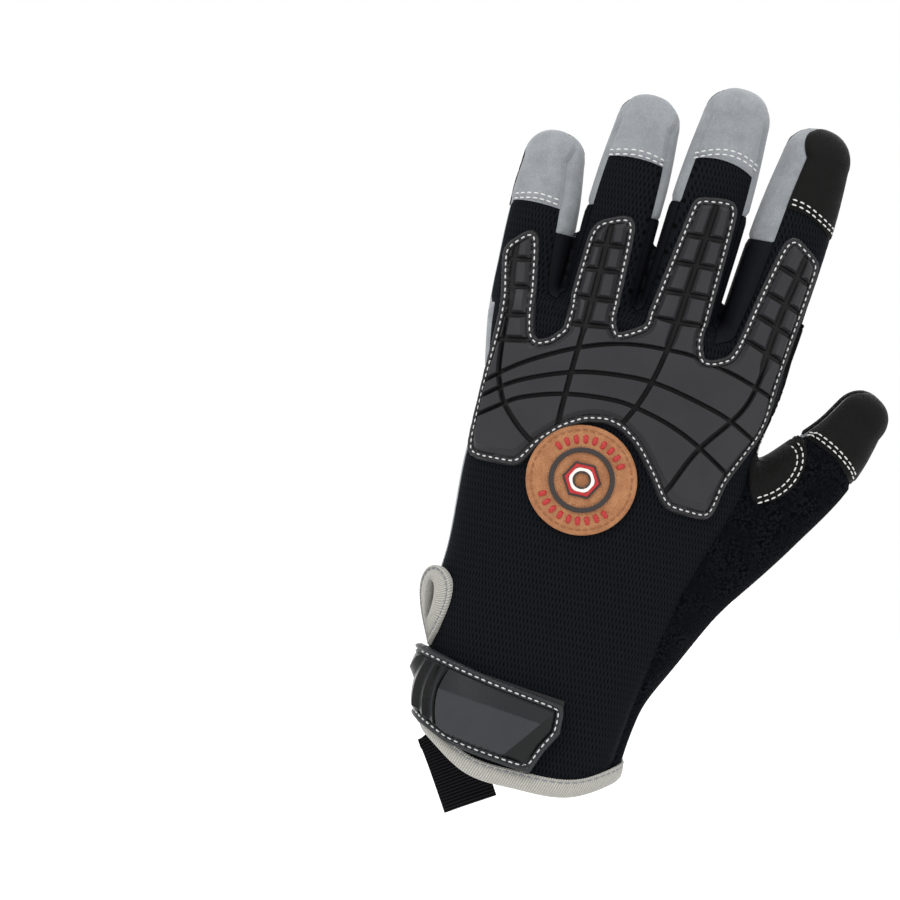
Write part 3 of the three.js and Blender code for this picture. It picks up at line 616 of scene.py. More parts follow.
def mesh_object(name, points, faces, sharp=38):
    """An object from arrays of points in mm and of faces that all have the same corners."""
    mesh = bpy.data.meshes.new(name)
    faces = [faces] if isinstance(faces, np.ndarray) else faces
    mesh.vertices.add(len(points))
    mesh.vertices.foreach_set("co", np.ascontiguousarray(points * MM, dtype=np.float32).ravel())
    corners = np.concatenate([f.ravel() for f in faces]).astype(np.int32)
    sizes = np.concatenate([np.full(len(f), f.shape[1]) for f in faces])
    starts = np.concatenate([[0], np.cumsum(sizes)[:-1]]).astype(np.int32)
    mesh.loops.add(len(corners))
    mesh.loops.foreach_set("vertex_index", corners)
    mesh.polygons.add(len(sizes))
    mesh.polygons.foreach_set("loop_start", starts)
    mesh.update(calc_edges=True)
    mesh.validate()
    mesh.polygons.foreach_set("use_smooth", np.ones(len(mesh.polygons), bool))
    mesh.set_sharp_from_angle(angle=math.radians(sharp))
    made = bpy.data.objects.new(name, mesh)
    bpy.context.scene.collection.objects.link(made)
    return made


def piece(name, points, faces, material, nodes=(), sharp=38, cloth=None):
    """A finished piece of the glove. cloth holds a (u, v) in mm for each point."""
    made = mesh_object(name, points, faces, sharp)
    made.data.materials.append(material)
    if cloth is not None:
        layer = made.data.uv_layers.new(name="cloth")
        index = np.empty(len(made.data.loops), np.int32)
        made.data.loops.foreach_get("vertex_index", index)
        layer.data.foreach_set("uv", np.ascontiguousarray(cloth[index] * MM, dtype=np.float32).ravel())
    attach(made, "root")
    if nodes:
        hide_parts(*nodes)
    return made


def closed(data, tri, top, bottom):
    """A solid between two heights over the skin: the mesh at the top, the same mesh turned over
    at the bottom, and a wall round its border."""
    place, out = data["place"], data["out"]
    n = len(place)
    upper = place + out * np.reshape(np.broadcast_to(top, n), (-1, 1))
    lower = place + out * np.reshape(np.broadcast_to(bottom, n), (-1, 1))
    i, j = borders(tri).T
    wall = np.concatenate([np.stack([j, i, i + n], 1), np.stack([j, i + n, j + n], 1)])
    return np.concatenate([upper, lower]), np.concatenate([tri, tri[:, ::-1] + n, wall])


def part_of(data, tri, keep):
    """The triangles whose points are all in a mask."""
    return compact(data, tri[keep[tri].all(1)])


def smooth_step(x):
    """0 up to 0, 1 from 1 on, and 3 x^2 - 2 x^3 between."""
    x = np.clip(x, 0, 1)
    return x * x * (3 - 2 * x)


# Materials


class Paint:
    """A material and a short way to write its nodes: a call adds a node and gives its output."""

    def __init__(self, name, **settings):
        self.material = bpy.data.materials.new(name)
        self.material.use_nodes = True
        self.nodes = self.material.node_tree.nodes
        self.links = self.material.node_tree.links
        self.shader = self.nodes["Principled BSDF"]
        for socket, value in settings.items():
            self.set(self.shader, socket.replace("_", " "), value)

    def set(self, node, socket, value):
        """Give a socket a number or colour, or link another node's output to it."""
        target = node.inputs[socket]
        if isinstance(value, bpy.types.NodeSocket):
            self.links.new(value, target)
        else:
            target.default_value = value

    def node(self, kind, inputs=(), output=0, **attributes):
        """A new node with its settings and inputs, given back as one of its outputs."""
        made = self.nodes.new("ShaderNode" + kind)
        for name, value in attributes.items():
            setattr(made, name, value)
        for socket, value in dict(inputs).items():
            self.set(made, socket, value)
        return made.outputs[output]

    def math(self, operation, *values):
        """One sum on values, such as ADD or SINE."""
        return self.node("Math", enumerate(values), operation=operation)

    def place(self, attribute=None, scale=(1000, 1000, 1000), turn=(0, 0, 0)):
        """Place on the object in mm, or in a UV map, scaled and turned."""
        if attribute:
            source = self.node("UVMap", uv_map=attribute)
        else:
            source = self.node("TexCoord", output=3)
        return self.node("Mapping", {"Vector": source, "Scale": scale, "Rotation": turn})

    def axes(self, place):
        """A place taken apart into x, y and z."""
        return list(self.node("SeparateXYZ", {"Vector": place}).node.outputs)

    def staggered(self, u, v, wide, high):
        """Place in the cells of a brick pattern, from -0.5 to 0.5 across and up. Every second
        row is moved by half a cell."""
        row = self.math("DIVIDE", v, high)
        shift = self.math("MULTIPLY", self.math("MODULO", self.math("FLOOR", row), 2.0), 0.5)
        column = self.math("ADD", self.math("DIVIDE", u, wide), shift)
        return [self.math("SUBTRACT", self.math("FRACT", part), 0.5) for part in (column, row)]

    def radius(self, a, b):
        """How far (a, b) is from (0, 0)."""
        square = self.math("ADD", self.math("MULTIPLY", a, a), self.math("MULTIPLY", b, b))
        return self.math("SQRT", square)

    def wave(self, value, length):
        """The sine of a value, with its wavelength in mm."""
        return self.math("SINE", self.math("MULTIPLY", value, 2 * math.pi / length))

    def noise(self, place, scale, detail=3, roughness=0.55):
        """Soft noise, about 1 / scale mm from one blotch to the next."""
        inputs = {"Vector": place, "Scale": scale, "Detail": detail, "Roughness": roughness}
        return self.node("TexNoise", inputs)

    def ramp(self, value, low, high, start=0.0, end=1.0):
        """A value carried evenly from low..high to start..end, and held beyond them."""
        inputs = {"Value": value, "From Min": low, "From Max": high, "To Min": start, "To Max": end}
        return self.node("MapRange", inputs)

    def between(self, share, a, b):
        """A colour a share of the way from a to b."""
        inputs = {"Factor": share, "A": a, "B": b}
        return self.node("Mix", inputs, output=2, data_type="RGBA", clamp_factor=True)

    def bump(self, height, distance, strength=1.0, under=None):
        """Relief of a height from 0 to 1 that stands for a distance in mm, over other relief."""
        inputs = {"Height": height, "Distance": distance * MM, "Strength": strength}
        if under is not None:
            inputs["Normal"] = under
        return self.node("Bump", inputs)

    def finish(self, **sockets):
        """Set the shader's sockets and give the material."""
        for socket, value in sockets.items():
            self.set(self.shader, socket.replace("_", " "), value)
        return self.material


def colour(r, g, b):
    """A colour given as it looks on a screen, 0 to 255, as the light it returns."""
    return tuple((np.array([r, g, b]) / 255.0) ** 2.2) + (1.0,)


def knit_material():
    """Warp knit: staggered rows of narrow upright holes on the cloth's own u and v. A hole is
    where the length of (across / 0.16, up / 0.43), in shares of a cell, is small."""
    paint = Paint("knit_mesh", Roughness=0.82)
    u, v, _ = paint.axes(paint.place("cloth"))
    across, up = paint.staggered(u, v, 1.3, 2.3)
    gap = paint.radius(paint.math("DIVIDE", across, 0.16), paint.math("DIVIDE", up, 0.43))
    hole = paint.ramp(gap, 0.6, 1.3)
    fibre = paint.noise(paint.place(), 2.6, 2)
    tone = paint.between(fibre, colour(13, 14, 18), colour(28, 31, 36))
    # The holes are painted near-black: painted shade in them
    base = paint.between(hole, colour(2, 2, 3), tone)
    height = paint.math("ADD", hole, paint.math("MULTIPLY", fibre, 0.35))
    folds = paint.bump(paint.noise(paint.place(scale=(40, 40, 22)), 1.0, 2, 0.4), 5.0, 0.7)
    return paint.finish(Base_Color=base, Normal=paint.bump(height, 0.45, 0.8, folds), Specular_IOR_Level=0.07)


def lycra_material():
    """Smooth stretch cloth."""
    paint = Paint("stretch_cloth", Roughness=0.6)
    place = paint.place()
    grain = paint.noise(place, 4.0, 2)
    base = paint.between(grain, colour(12, 12, 15), colour(26, 27, 31))
    return paint.finish(Base_Color=base, Normal=paint.bump(grain, 0.12, 0.6), Specular_IOR_Level=0.07)


def terry_material():
    """Looped terry: close tufts, with painted shade that makes the gaps between them near-black."""
    paint = Paint("looped_terry", Roughness=0.95)
    place = paint.place()
    loops = paint.node("TexVoronoi", {"Vector": place, "Scale": 0.95}, feature="F1")
    tuft = paint.ramp(loops, 0.1, 0.75, 1.0, 0.0)
    drift = paint.noise(place, 0.12, 3)
    # Painted shade: near-black in the gaps between tufts
    base = paint.between(tuft, colour(4, 4, 6), colour(30, 32, 38))
    base = paint.between(paint.ramp(drift, 0.35, 0.7), base, colour(17, 18, 22))
    return paint.finish(Base_Color=base, Normal=paint.bump(tuft, 0.55, 0.85), Specular_IOR_Level=0.04)


def suede_material():
    """Napped suede: soft blotches, a fine nap and a few darker rubs."""
    paint = Paint("grey_suede", Roughness=0.92)
    place = paint.place()
    blotch = paint.noise(place, 0.16, 4, 0.6)
    nap = paint.noise(place, 3.2, 3, 0.7)
    speck = paint.noise(place, 0.9, 2, 0.6)
    base = paint.between(paint.ramp(blotch, 0.3, 0.72), colour(124, 128, 132), colour(143, 147, 151))
    base = paint.between(paint.ramp(nap, 0.34, 0.6, 0.5, 0.0), base, colour(90, 94, 98))
    base = paint.between(paint.ramp(speck, 0.55, 0.75, 0.0, 0.3), base, colour(156, 160, 164))
    height = paint.math("ADD", nap, paint.math("MULTIPLY", speck, 0.6))
    folds = paint.bump(paint.noise(paint.place(scale=(60, 60, 60)), 1.0, 3, 0.5), 3.0, 0.5)
    return paint.finish(Base_Color=base, Normal=paint.bump(height, 0.22, 0.6, folds), Specular_IOR_Level=0.16,
                        Sheen_Weight=0.25, Sheen_Roughness=0.6)


def leather_material():
    """Black synthetic leather with a fine pebble grain."""
    paint = Paint("black_leather", Roughness=0.62)
    place = paint.place()
    pebble = paint.node("TexVoronoi", {"Vector": place, "Scale": 1.5}, feature="DISTANCE_TO_EDGE")
    crease = paint.ramp(pebble, 0.0, 0.16)
    drift = paint.noise(place, 0.25, 3)
    base = paint.between(drift, colour(8, 8, 8), colour(23, 22, 21))
    height = paint.math("ADD", crease, paint.math("MULTIPLY", paint.noise(place, 2.2), 0.5))
    rough = paint.ramp(drift, 0.3, 0.7, 0.55, 0.72)
    return paint.finish(Base_Color=base, Roughness=rough, Normal=paint.bump(height, 0.14, 0.7),
                        Specular_IOR_Level=0.13)


def grip_material():
    """Black leather pressed with slanting rows of small grip dimples."""
    paint = Paint("grip_leather", Roughness=0.68)
    u, _, v = paint.axes(paint.place(turn=(0, 0.35, 0)))
    gap = paint.radius(*paint.staggered(u, v, 2.2, 1.9))
    dot = paint.ramp(gap, 0.16, 0.3, 1.0, 0.0)
    grain = paint.noise(paint.place(), 2.4)
    base = paint.between(dot, colour(22, 20, 19), colour(52, 49, 46))
    height = paint.math("ADD", dot, paint.math("MULTIPLY", grain, 0.4))
    return paint.finish(Base_Color=base, Normal=paint.bump(height, 0.35, 0.8), Specular_IOR_Level=0.14)


def moulded_material(name, dark, light, rough):
    """Moulded rubber: a fine spark texture, slightly worn lighter in places, and painted shade that
    darkens it to black in its grooves. The cloth map's u tells how far up from a groove's floor a point
    is, and on the strap cover it holds the painted shade of each facet."""
    paint = Paint(name)
    place = paint.place()
    spark = paint.noise(place, 3.5, 3, 0.6)
    drift = paint.noise(place, 0.08, 3)
    base = paint.between(drift, colour(*dark), colour(*light))
    shade_level = paint.axes(paint.place("cloth"))[0]
    # Painted shade: black where u is 0, rising to the plain tone where u reaches 0.5
    base = paint.between(paint.ramp(shade_level, 0.0, 0.5), colour(0, 0, 0), base)
    tone = paint.ramp(spark, 0.35, 0.65, rough - 0.07, rough + 0.07)
    return paint.finish(Base_Color=base, Roughness=tone, Normal=paint.bump(spark, 0.06, 0.5),
                        Specular_IOR_Level=0.22)


def webbing_material():
    """Black woven webbing with close cross ribs."""
    paint = Paint("black_webbing", Roughness=0.8)
    across, along, _ = paint.axes(paint.place("cloth"))
    rib = paint.wave(along, 1.15)
    thread = paint.wave(across, 0.6)
    height = paint.math("ADD", paint.ramp(rib, -1.0, 1.0), paint.ramp(thread, -1.0, 1.0, 0.0, 0.2))
    # Painted shade: darker in the valleys between the ribs
    base = paint.between(paint.ramp(rib, -0.6, 0.8), colour(6, 6, 8), colour(34, 34, 38))
    return paint.finish(Base_Color=base, Normal=paint.bump(height, 0.4, 0.8), Specular_IOR_Level=0.1)


def binding_material():
    """Light grey knitted tape with fine slanting ribs."""
    paint = Paint("grey_binding", Roughness=0.9)
    along, girth, _ = paint.axes(paint.place("cloth"))
    slant = paint.math("ADD", along, paint.math("MULTIPLY", girth, 0.35))
    rib = paint.wave(slant, 0.85)
    fibre = paint.noise(paint.place(), 2.5, 3)
    height = paint.math("ADD", paint.ramp(rib, -1.0, 1.0, 0.0, 0.7), fibre)
    # Painted shade: darker in the valleys between the ribs
    base = paint.between(paint.ramp(rib, -1.0, 0.6), colour(138, 137, 131), colour(182, 180, 173))
    base = paint.between(paint.ramp(fibre, 0.3, 0.6, 0.4, 0.0), base, colour(120, 119, 114))
    return paint.finish(Base_Color=base, Normal=paint.bump(height, 0.25, 0.7), Specular_IOR_Level=0.2,
                        Sheen_Weight=0.2, Sheen_Roughness=0.5)


def badge_material():
    """Tan leather with a fine pebble and darker pores."""
    paint = Paint("tan_leather")
    place = paint.place()
    pebble = paint.node("TexVoronoi", {"Vector": place, "Scale": 1.3}, feature="DISTANCE_TO_EDGE")
    drift = paint.noise(place, 0.2, 4)
    pores = paint.noise(place, 1.8, 3)
    base = paint.between(paint.ramp(drift, 0.3, 0.7), colour(148, 96, 62), colour(172, 120, 82))
    base = paint.between(paint.ramp(pores, 0.3, 0.5, 0.5, 0.0), base, colour(112, 70, 44))
    height = paint.math("ADD", paint.ramp(pebble, 0.0, 0.2), pores)
    return paint.finish(Base_Color=base, Roughness=0.62, Normal=paint.bump(height, 0.16, 0.7),
                        Specular_IOR_Level=0.35)


def plain_material(name, dark, light, rough, grain=2.0, depth=0.08):
    """A small part's finish: two near tones and a fine grain."""
    paint = Paint(name, Roughness=rough)
    spark = paint.noise(paint.place(), grain, 3)
    base = paint.between(spark, colour(*dark), colour(*light))
    return paint.finish(Base_Color=base, Normal=paint.bump(spark, depth, 0.6))


def thread_material():
    """White sewing thread with its twist."""
    paint = Paint("white_thread", Roughness=0.7)
    place = paint.place()
    twist = paint.noise(place, 5.0, 2)
    base = paint.between(twist, colour(178, 178, 176), colour(222, 222, 220))
    return paint.finish(Base_Color=base, Normal=paint.bump(twist, 0.1, 0.6), Sheen_Weight=0.2)


KNIT = knit_material()
LYCRA = lycra_material()
TERRY = terry_material()
SUEDE = suede_material()
LEATHER = leather_material()
GRIP = grip_material()
MOULDED = moulded_material("moulded_rubber", (40, 40, 42), (49, 49, 51), 0.5)
GLOSSY = moulded_material("glossy_rubber", (56, 58, 61), (66, 68, 71), 0.3)
WEBBING = webbing_material()
BINDING = binding_material()
BADGE_PAINT = badge_material()
THREAD = thread_material()
TAN_THREAD = plain_material("tan_thread", (112, 70, 42), (150, 98, 62), 0.7)
BLUE_THREAD = plain_material("blue_grey_thread", (92, 96, 106), (130, 134, 144), 0.7)
WEBBING_PLAIN = plain_material("strap_cloth", (8, 8, 10), (28, 28, 32), 0.8, 3.0, 0.2)
RED = plain_material("red_rubber", (150, 22, 24), (178, 34, 34), 0.45)
WHITE = plain_material("white_rubber", (208, 206, 200), (228, 226, 220), 0.5)
DARK = plain_material("dark_rubber", (30, 24, 22), (50, 40, 36), 0.5)
LINING = plain_material("lining_cloth", (38, 38, 42), (60, 60, 66), 0.9, 1.2, 0.3)


# Panels of the glove's skin

skin.update(seam_fields(skin["place"]))


def cloth_place(p):
    """Place on the cloth: across, with the sides of the hand unrolled, and up."""
    x, y, z = p.T
    away = np.where(x > 5, 1.0, -1.0)
    return np.stack([x + away * 0.6 * np.maximum(y + 17, 0), z], 1)


def panel(name, material, nodes, field, dip=0.8, reach=2.2, lift=0.0, fine=False):
    """A panel of the skin, cut out along its seams. Its height over the skin is lift, and falls
    by a smooth step to -dip over the last reach mm before the seam."""
    data, tri = part_of(skin, skin_tri, skin[field] < 6)
    if fine:
        data, tri = finer(data, tri)
        data.update(seam_fields(data["place"]))
    data, tri = cut(data, tri, field)
    data, tri = cut(data, tri, "edge")
    top = lift - (dip + lift) * (1 - smooth_step(-data[field] / reach))
    points, faces = closed(data, tri, top, -WALL)
    return piece(name, points, faces, material, nodes, cloth=cloth_place(points))


def tip_patch(name, grips):
    """A wear patch on a fingertip, proud of the skin. The index and the thumb have grip leather."""
    material, slot = (GRIP, "grip") if grips else (LEATHER, "leather")
    panel(name + "_tip_patch", material, [name + "_patch"], name + "_patch",
          lift=0.9, reach=0.9, dip=-0.35, fine=True)


panel("back_knit", KNIT, ["back_panel"], "back_panel")
fronts = [f.name + "_front" for f in FINGERS]
panel("suede_palm", SUEDE, ["palm_panel", "thumb_front", *fronts], "suede")
panel("thumb_terry", TERRY, ["thumb_back"], "thumb_back", lift=0.2)
panel("thumb_tip_cap", LEATHER, ["thumb_cap"], "thumb_cap", lift=0.3)
for i, f in enumerate(FINGERS):
    material, slot = (LEATHER, "leather") if i == INDEX else (SUEDE, "suede")
    panel(f.name + "_tip_cap", material, [f.name + "_cap"], f.name + "_cap",
          lift=0.4, reach=1.6, dip=0.5, fine=True)
    tip_patch(f.name, i == INDEX)
for a, b in zip(FINGERS, FINGERS[1:]):
    between = f"fourchette_{a.name}_{b.name}"
    panel(between + "_cloth", LYCRA, [between], between, dip=0.4)
tip_patch("thumb", True)


# How far under the wall's inner side the lining's two faces lie, and how far it stays over the hem
LINING_TOP = 0.15
LINING_UNDER = 0.6
LINING_FOOT = 1.2


def lining():
    """Thin cloth that lines the whole inside, open at the wrist."""
    data, tri = cut(dict(skin, hem=LINING_FOOT - above_hem(skin["place"])), skin_tri, "hem")
    points, faces = closed(data, tri, -WALL - LINING_TOP, -WALL - LINING_UNDER)
    piece("lining", points, faces, LINING)


lining()


# Sheets, pads and guards laid on the skin


def sheet_mesh(outline, side, wrap, beyond=0.0):
    """The skin inside an outline of (x, z), made finer, with its distance to the outline's edge
    as in_edge. beyond moves the edge outwards, and wrap is how far it may go round the hand."""
    flat = skin["place"][:, [0, 2]]
    margin = 5 + beyond
    near = ((flat > outline.min(0) - margin) & (flat < outline.max(0) + margin)).all(1)
    near &= side * skin["place"][:, 1] > -wrap - 3
    shape = {"place": skin["place"], "out": skin["out"]}
    data, tri = part_of(shape, skin_tri, near)
    data["in_edge"] = outline_field(data["place"], outline, side) - beyond
    data, tri = part_of(data, tri, data["in_edge"] < 3)
    data, tri = finer(data, tri)
    data["place"], data["out"] = settle(data["place"], 1)
    data["in_edge"] = outline_field(data["place"], outline, side) - beyond
    data["round"] = -wrap - side * data["place"][:, 1]
    data, tri = cut(data, tri, "in_edge")
    return cut(data, tri, "round")


# Valley that a row of stitches presses into a patch
VALLEY_DEPTH = 0.28
VALLEY_WIDTH = 0.5


def sewn_profile(inside, height, edge, rows, puff=0.0, puff_start=3.6, puff_reach=9.0):
    """Height of a sewn patch over the skin: a rounded edge, a valley along each row of
    stitches, and padding that swells inside them."""
    x = np.clip(inside / edge, 0, 1)
    top = height * np.sqrt(1 - (1 - x) ** 2)
    for row in rows:
        top -= VALLEY_DEPTH * np.exp(-(((inside - row) / VALLEY_WIDTH) ** 2))
    return top + puff * smooth_step((inside - puff_start) / puff_reach)


def patch(node, outline, side, height=1.0, rows=(1.5, 3.1), puff=0.0, fill=0.5, wrap=-3.0):
    """A black leather patch sewn on the skin in place of a node, padded if it has puff."""
    data, tri = sheet_mesh(outline, side, wrap=wrap)
    top = sewn_profile(-data["in_edge"], height, 0.8, rows, puff)
    points, faces = closed(data, tri, top, -0.4)
    made = piece(node + "_leather", points, faces, LEATHER, [node])


# Stitches: each is a short thread that dips into the cloth at both ends

ROUND = 6
# Rings of one stitch: place along its half length, size, and rise
BEAD = np.array([(-1, 0.35, -0.9), (-0.72, 0.95, 0.15), (0, 1.1, 0.45), (0.72, 0.95, 0.15),
                 (1, 0.35, -0.9)], float)


def beads(middle, along, up, length, width, height):
    """Rounded bars at middles, pointing along and standing up: the rings of a bead carried along
    each. A ring's points are side * cos a * width / 2 and up * (sin a + rise) * height / 2."""
    side = np.cross(up, along)
    a = np.arange(ROUND) * 2 * math.pi / ROUND
    place, size, rise = BEAD.T
    spot = middle[:, None, None, :]
    spot = spot + along[:, None, None, :] * (place * length / 2)[None, :, None, None]
    across = (size[:, None] * np.cos(a) * width / 2)[None, :, :, None]
    over = (size[:, None] * np.sin(a) + rise[:, None])[None, :, :, None] * height / 2
    points = spot + side[:, None, None, :] * across + up[:, None, None, :] * over
    n, rings = len(middle), len(BEAD)
    ring = np.arange(ROUND)
    nxt = np.roll(ring, -1)
    quads = np.concatenate([
        np.stack([r * ROUND + ring, (r + 1) * ROUND + ring, (r + 1) * ROUND + nxt, r * ROUND + nxt], 1)
        for r in range(rings - 1)
    ])
    ends = np.stack([ring, (rings - 1) * ROUND + ring[::-1]])
    start = (np.arange(n) * rings * ROUND)[:, None, None]
    return points.reshape(-1, 3), (quads + start).reshape(-1, 4), (ends + start).reshape(-1, ROUND)


def row_of(place, out, pitch, length, width, height, lift, closed=False):
    """A row of stitches along a line on the skin, with the skin's normals along it."""
    line = np.concatenate([place, place[:1]]) if closed else place
    ups = np.concatenate([out, out[:1]]) if closed else out
    run = np.concatenate([[0], np.cumsum(np.linalg.norm(np.diff(line, axis=0), axis=1))])
    count = max(int(run[-1] / pitch), 1)
    at = (np.arange(count) + 0.5) * run[-1] / count
    half = length / 2

    def read_at(values, s):
        """Values along the line at the lengths s from its start."""
        return np.stack([np.interp(s, run, values[:, c]) for c in range(3)], 1)

    a, b = read_at(line, at - half), read_at(line, at + half)
    up = read_at(ups, at)
    along = b - a
    along /= np.linalg.norm(along, axis=1, keepdims=True)
    up -= along * (up * along).sum(1, keepdims=True)
    up /= np.linalg.norm(up, axis=1, keepdims=True)
    return beads((a + b) / 2 + up * lift, along, up, length, width, height)


SEAMS = {"white": [], "tan": [], "blue": []}


def sew(place, out, thread="white", lift=1.0, pitch=2.35, length=1.75, width=0.5, height=0.48,
        closed=False):
    """A row of stitches, kept with the others of its thread."""
    SEAMS[thread].append(row_of(place, out, pitch, length, width, height, lift, closed))


def sew_line(points, side, **settings):
    """Stitches along an open line of (x, z) on one side of the hand."""
    sew(*onto(curved(points, step=0.6), side), **settings)


def inset(place, out, distance):
    """A closed line on the skin moved inwards in the skin, without the loops that a sharp corner
    would leave."""
    along = np.roll(place, -1, 0) - np.roll(place, 1, 0)
    along /= np.linalg.norm(along, axis=1, keepdims=True) + 1e-9
    across = np.cross(out, along)
    flat = place[:, [0, 2]]
    nxt = np.roll(flat, -1, 0)
    area = (flat[:, 0] * nxt[:, 1] - nxt[:, 0] * flat[:, 1]).sum()
    turn = np.sign(area) * -np.sign(out[:, 1].mean())
    moved = place + across * (turn * distance)
    moved = moved[line_distance(moved, place, closed=True) > abs(distance) * 0.94]
    moved = even(np.concatenate([moved, moved[:1]]), 0.6)[:-1]
    return settle(moved, 2)


def sew_round(outline, side, rows, **settings):
    """Closed rows of stitches inside an outline, each at a distance from its edge."""
    place, out = onto(outline, side)
    for row in rows:
        sew(*(inset(place, out, row) if row else (place, out)), closed=True, **settings)


def sewn_up():
    """Each thread's stitches as one piece."""
    threads = {"white": THREAD, "tan": TAN_THREAD, "blue": BLUE_THREAD}
    for name, rows in SEAMS.items():
        starts = np.cumsum([0] + [len(r[0]) for r in rows[:-1]])
        points = np.concatenate([r[0] for r in rows])
        quads = np.concatenate([r[1] + s for r, s in zip(rows, starts)])
        ends = np.concatenate([r[2] + s for r, s in zip(rows, starts)])
        piece(f"stitches_{name}", points, [quads, ends], threads[name], sharp=60)


# Palm patches

KNUCKLE_PAD = [(-43, 139.5), (-43, 165.8), (-31, 167), (-27.5, 155), (-19, 155), (-17, 170), (-6.5, 170),
               (-4.5, 157), (8, 157), (10, 169.5), (20, 169.5), (23, 157), (35.5, 157), (39, 169), (52, 169),
               (52, 150), (48, 127.5), (22, 130.5), (10, 138), (-10, 139.5)]
PALM_PAD = [(-41, 100), (-41, 127), (-35, 130.5), (-10, 133), (0, 132.5), (8, 129), (14, 125), (22, 123),
            (44, 121.5), (45, 118.5), (33, 113.5), (22, 108), (12, 101), (5, 93), (1, 85), (-1, 75),
            (-1.5, 65), (-4, 60), (-13, 57), (-38, 57), (-41, 62)]
THUMB_PAD = [(45, 108.5), (50.5, 107), (52, 100), (51.5, 93), (48, 80), (42.5, 68), (37, 59.5), (31, 56),
             (22, 55), (12, 56.5), (10, 60), (9.5, 70), (11, 80), (15, 88), (22, 94), (32, 101), (39, 106)]
PALM_PAD_SEAM = [(-40, 103), (-25, 111), (-10, 115), (4, 116), (17.5, 114.5)]
PALM_PAD_CURL = [(17.5, 114.5), (10, 110), (0, 102), (-8, 93), (-13, 85), (-16, 75), (-16.5, 62)]
STRAP_BASE = [(-21, 35.5), (0, 35.3), (5, 34.8), (10, 32), (11.5, 28), (9, 20), (3, 12), (-2, 10.5),
              (-21, 11)]
INDEX_STRIP = [(54.5, 169.5), (66, 169.5), (66, 119.3), (49.5, 119.3), (50, 130), (53, 150)]
WEB_PATCH = [(50, 123), (60, 126), (66, 133.5), (70, 127.5), (70, 120), (67, 112), (60, 106.5), (53, 105)]

for name, points, rounding, puff, fill in (
    ("knuckle_pad", KNUCKLE_PAD, 0.42, 1.1, 0.5),
    ("palm_pad", PALM_PAD, 0.5, 1.3, 0.6),
    ("thumb_pad", THUMB_PAD, 0.5, 1.4, 0.7),
):
    outline = curved(points, closed=True, rounding=rounding)
    patch(name, outline, 1, puff=puff, fill=fill)
    sew_round(outline, 1, (1.5, 3.1), lift=0.9)
sew_line(PALM_PAD_SEAM, 1, lift=2.2)
sew_line(PALM_PAD_CURL, 1, lift=2.2)

outline = curved(INDEX_STRIP, closed=True, rounding=0.3)
patch("index_strip", outline, 1, rows=(1.5,), wrap=0)
sew_line([(56.5, 168), (55.5, 150), (53.5, 138), (52.5, 122)], 1, lift=0.9)
outline = curved(WEB_PATCH, closed=True, rounding=0.5)
patch("web_patch", outline, -1, rows=(1.4, 3.0), wrap=8)
sew_line([(65.5, 129.5), (68.3, 127), (69, 121), (66.5, 114), (61.5, 108.5), (56, 105.5)], -1, lift=0.95)
sew_line([(64, 127.6), (66.6, 125.8), (67.2, 121), (65, 115), (60.6, 110), (55.5, 107.2)], -1, lift=0.95)


# Moulded guard on the back

GUARD = [(-46, 172), (-40, 178.5), (-38, 177), (-33, 145), (-30, 141.5), (-25, 143.5), (-21, 148),
         (-20.5, 150), (-19.5, 170), (-18.5, 186), (-9, 190.5), (-7, 188), (-7, 155), (-4, 149.8),
         (0, 151.5), (6, 155), (7, 160), (10, 180), (13, 200), (14, 202), (24, 203.5), (25.5, 201),
         (25, 185), (23.5, 155), (26, 148), (30, 148), (36, 151), (39, 158), (42, 175), (46, 193),
         (48.5, 196.5), (56.5, 190.5), (57, 188), (55.5, 175), (53.5, 160), (52, 145), (51.5, 135),
         (50, 128), (46, 119), (42, 110), (40.5, 100), (39, 97.5), (27, 98), (24, 100), (20, 106),
         (12, 116), (5, 121), (-1, 122.3), (-8, 121), (-15, 117), (-22, 110), (-26, 103), (-28, 101),
         (-42, 100.5), (-43, 105), (-42.8, 130), (-42.5, 145), (-43, 155), (-45, 165)]
LENGTHWISE = [
    [(-43.5, 182), (-43, 165), (-41, 155), (-40, 145), (-39.5, 138), (-38.5, 129.5), (-37, 125),
     (-35, 119.5), (-28, 112), (-22, 108)],
    [(-13.5, 194), (-14, 170), (-14.5, 158), (-15.5, 143.5), (-16, 135), (-16.5, 116)],
    [(20, 207), (18, 185), (16.5, 172), (15.5, 160), (14, 149.5), (11.5, 138), (8, 128), (2, 117)],
    [(54, 196), (51, 180), (49, 170), (47.5, 158), (46.5, 148), (44, 138), (40, 131), (31.5, 119.8),
     (28, 113), (22, 98)],
]
ARCS = [
    [(-46, 121), (-38.5, 129.5), (-30, 136), (-15.5, 143.5), (0, 148.3), (14, 149.3), (20, 149.3),
     (25, 148.8)],
    [(31, 147.5), (46, 144), (56, 139.5)],
    [(-46, 116), (-37, 125), (-30, 129.5), (-16, 135), (-5, 137), (11.5, 138), (30, 134), (40, 131),
     (52, 124)],
    [(-46, 110), (-35, 119.5), (-30, 123), (-16.3, 127.5), (0, 129), (8, 128), (20, 125),
     (31.5, 119.8), (45, 111)],
]
# Cross grooves on each finger's lobe: heights where they cross the lengthwise groove, and rise
CROSS_REACH = 9.0
CROSS = [
    ([168.5, 159, 149.5, 141], 0.17),
    ([180, 171, 161, 151.5], 0.12),
    ([190, 180, 169.5, 159.5], 0.08),
    ([184, 174, 165.5, 156], -0.36),
]
GUARD_BASE = 1.3
GUARD_TOP = 3.5


def cross_lines():
    """Straight grooves of (x +- reach, z +- reach * rise) across the lengthwise ones."""
    for (heights, rise), groove in zip(CROSS, LENGTHWISE):
        line = np.array(groove, float)[::-1]
        for z in heights:
            x = np.interp(z, line[:, 1], line[:, 0])
            step = np.array([CROSS_REACH, CROSS_REACH * rise])
            yield [(x, z) - step, (x, z), (x, z) + step]


def groove_distance(place, lines):
    """Distance in the skin to the nearest of some grooves."""
    return least(*[line_distance(place, onto(curved(line, step=1.2), -1)[0]) for line in lines])


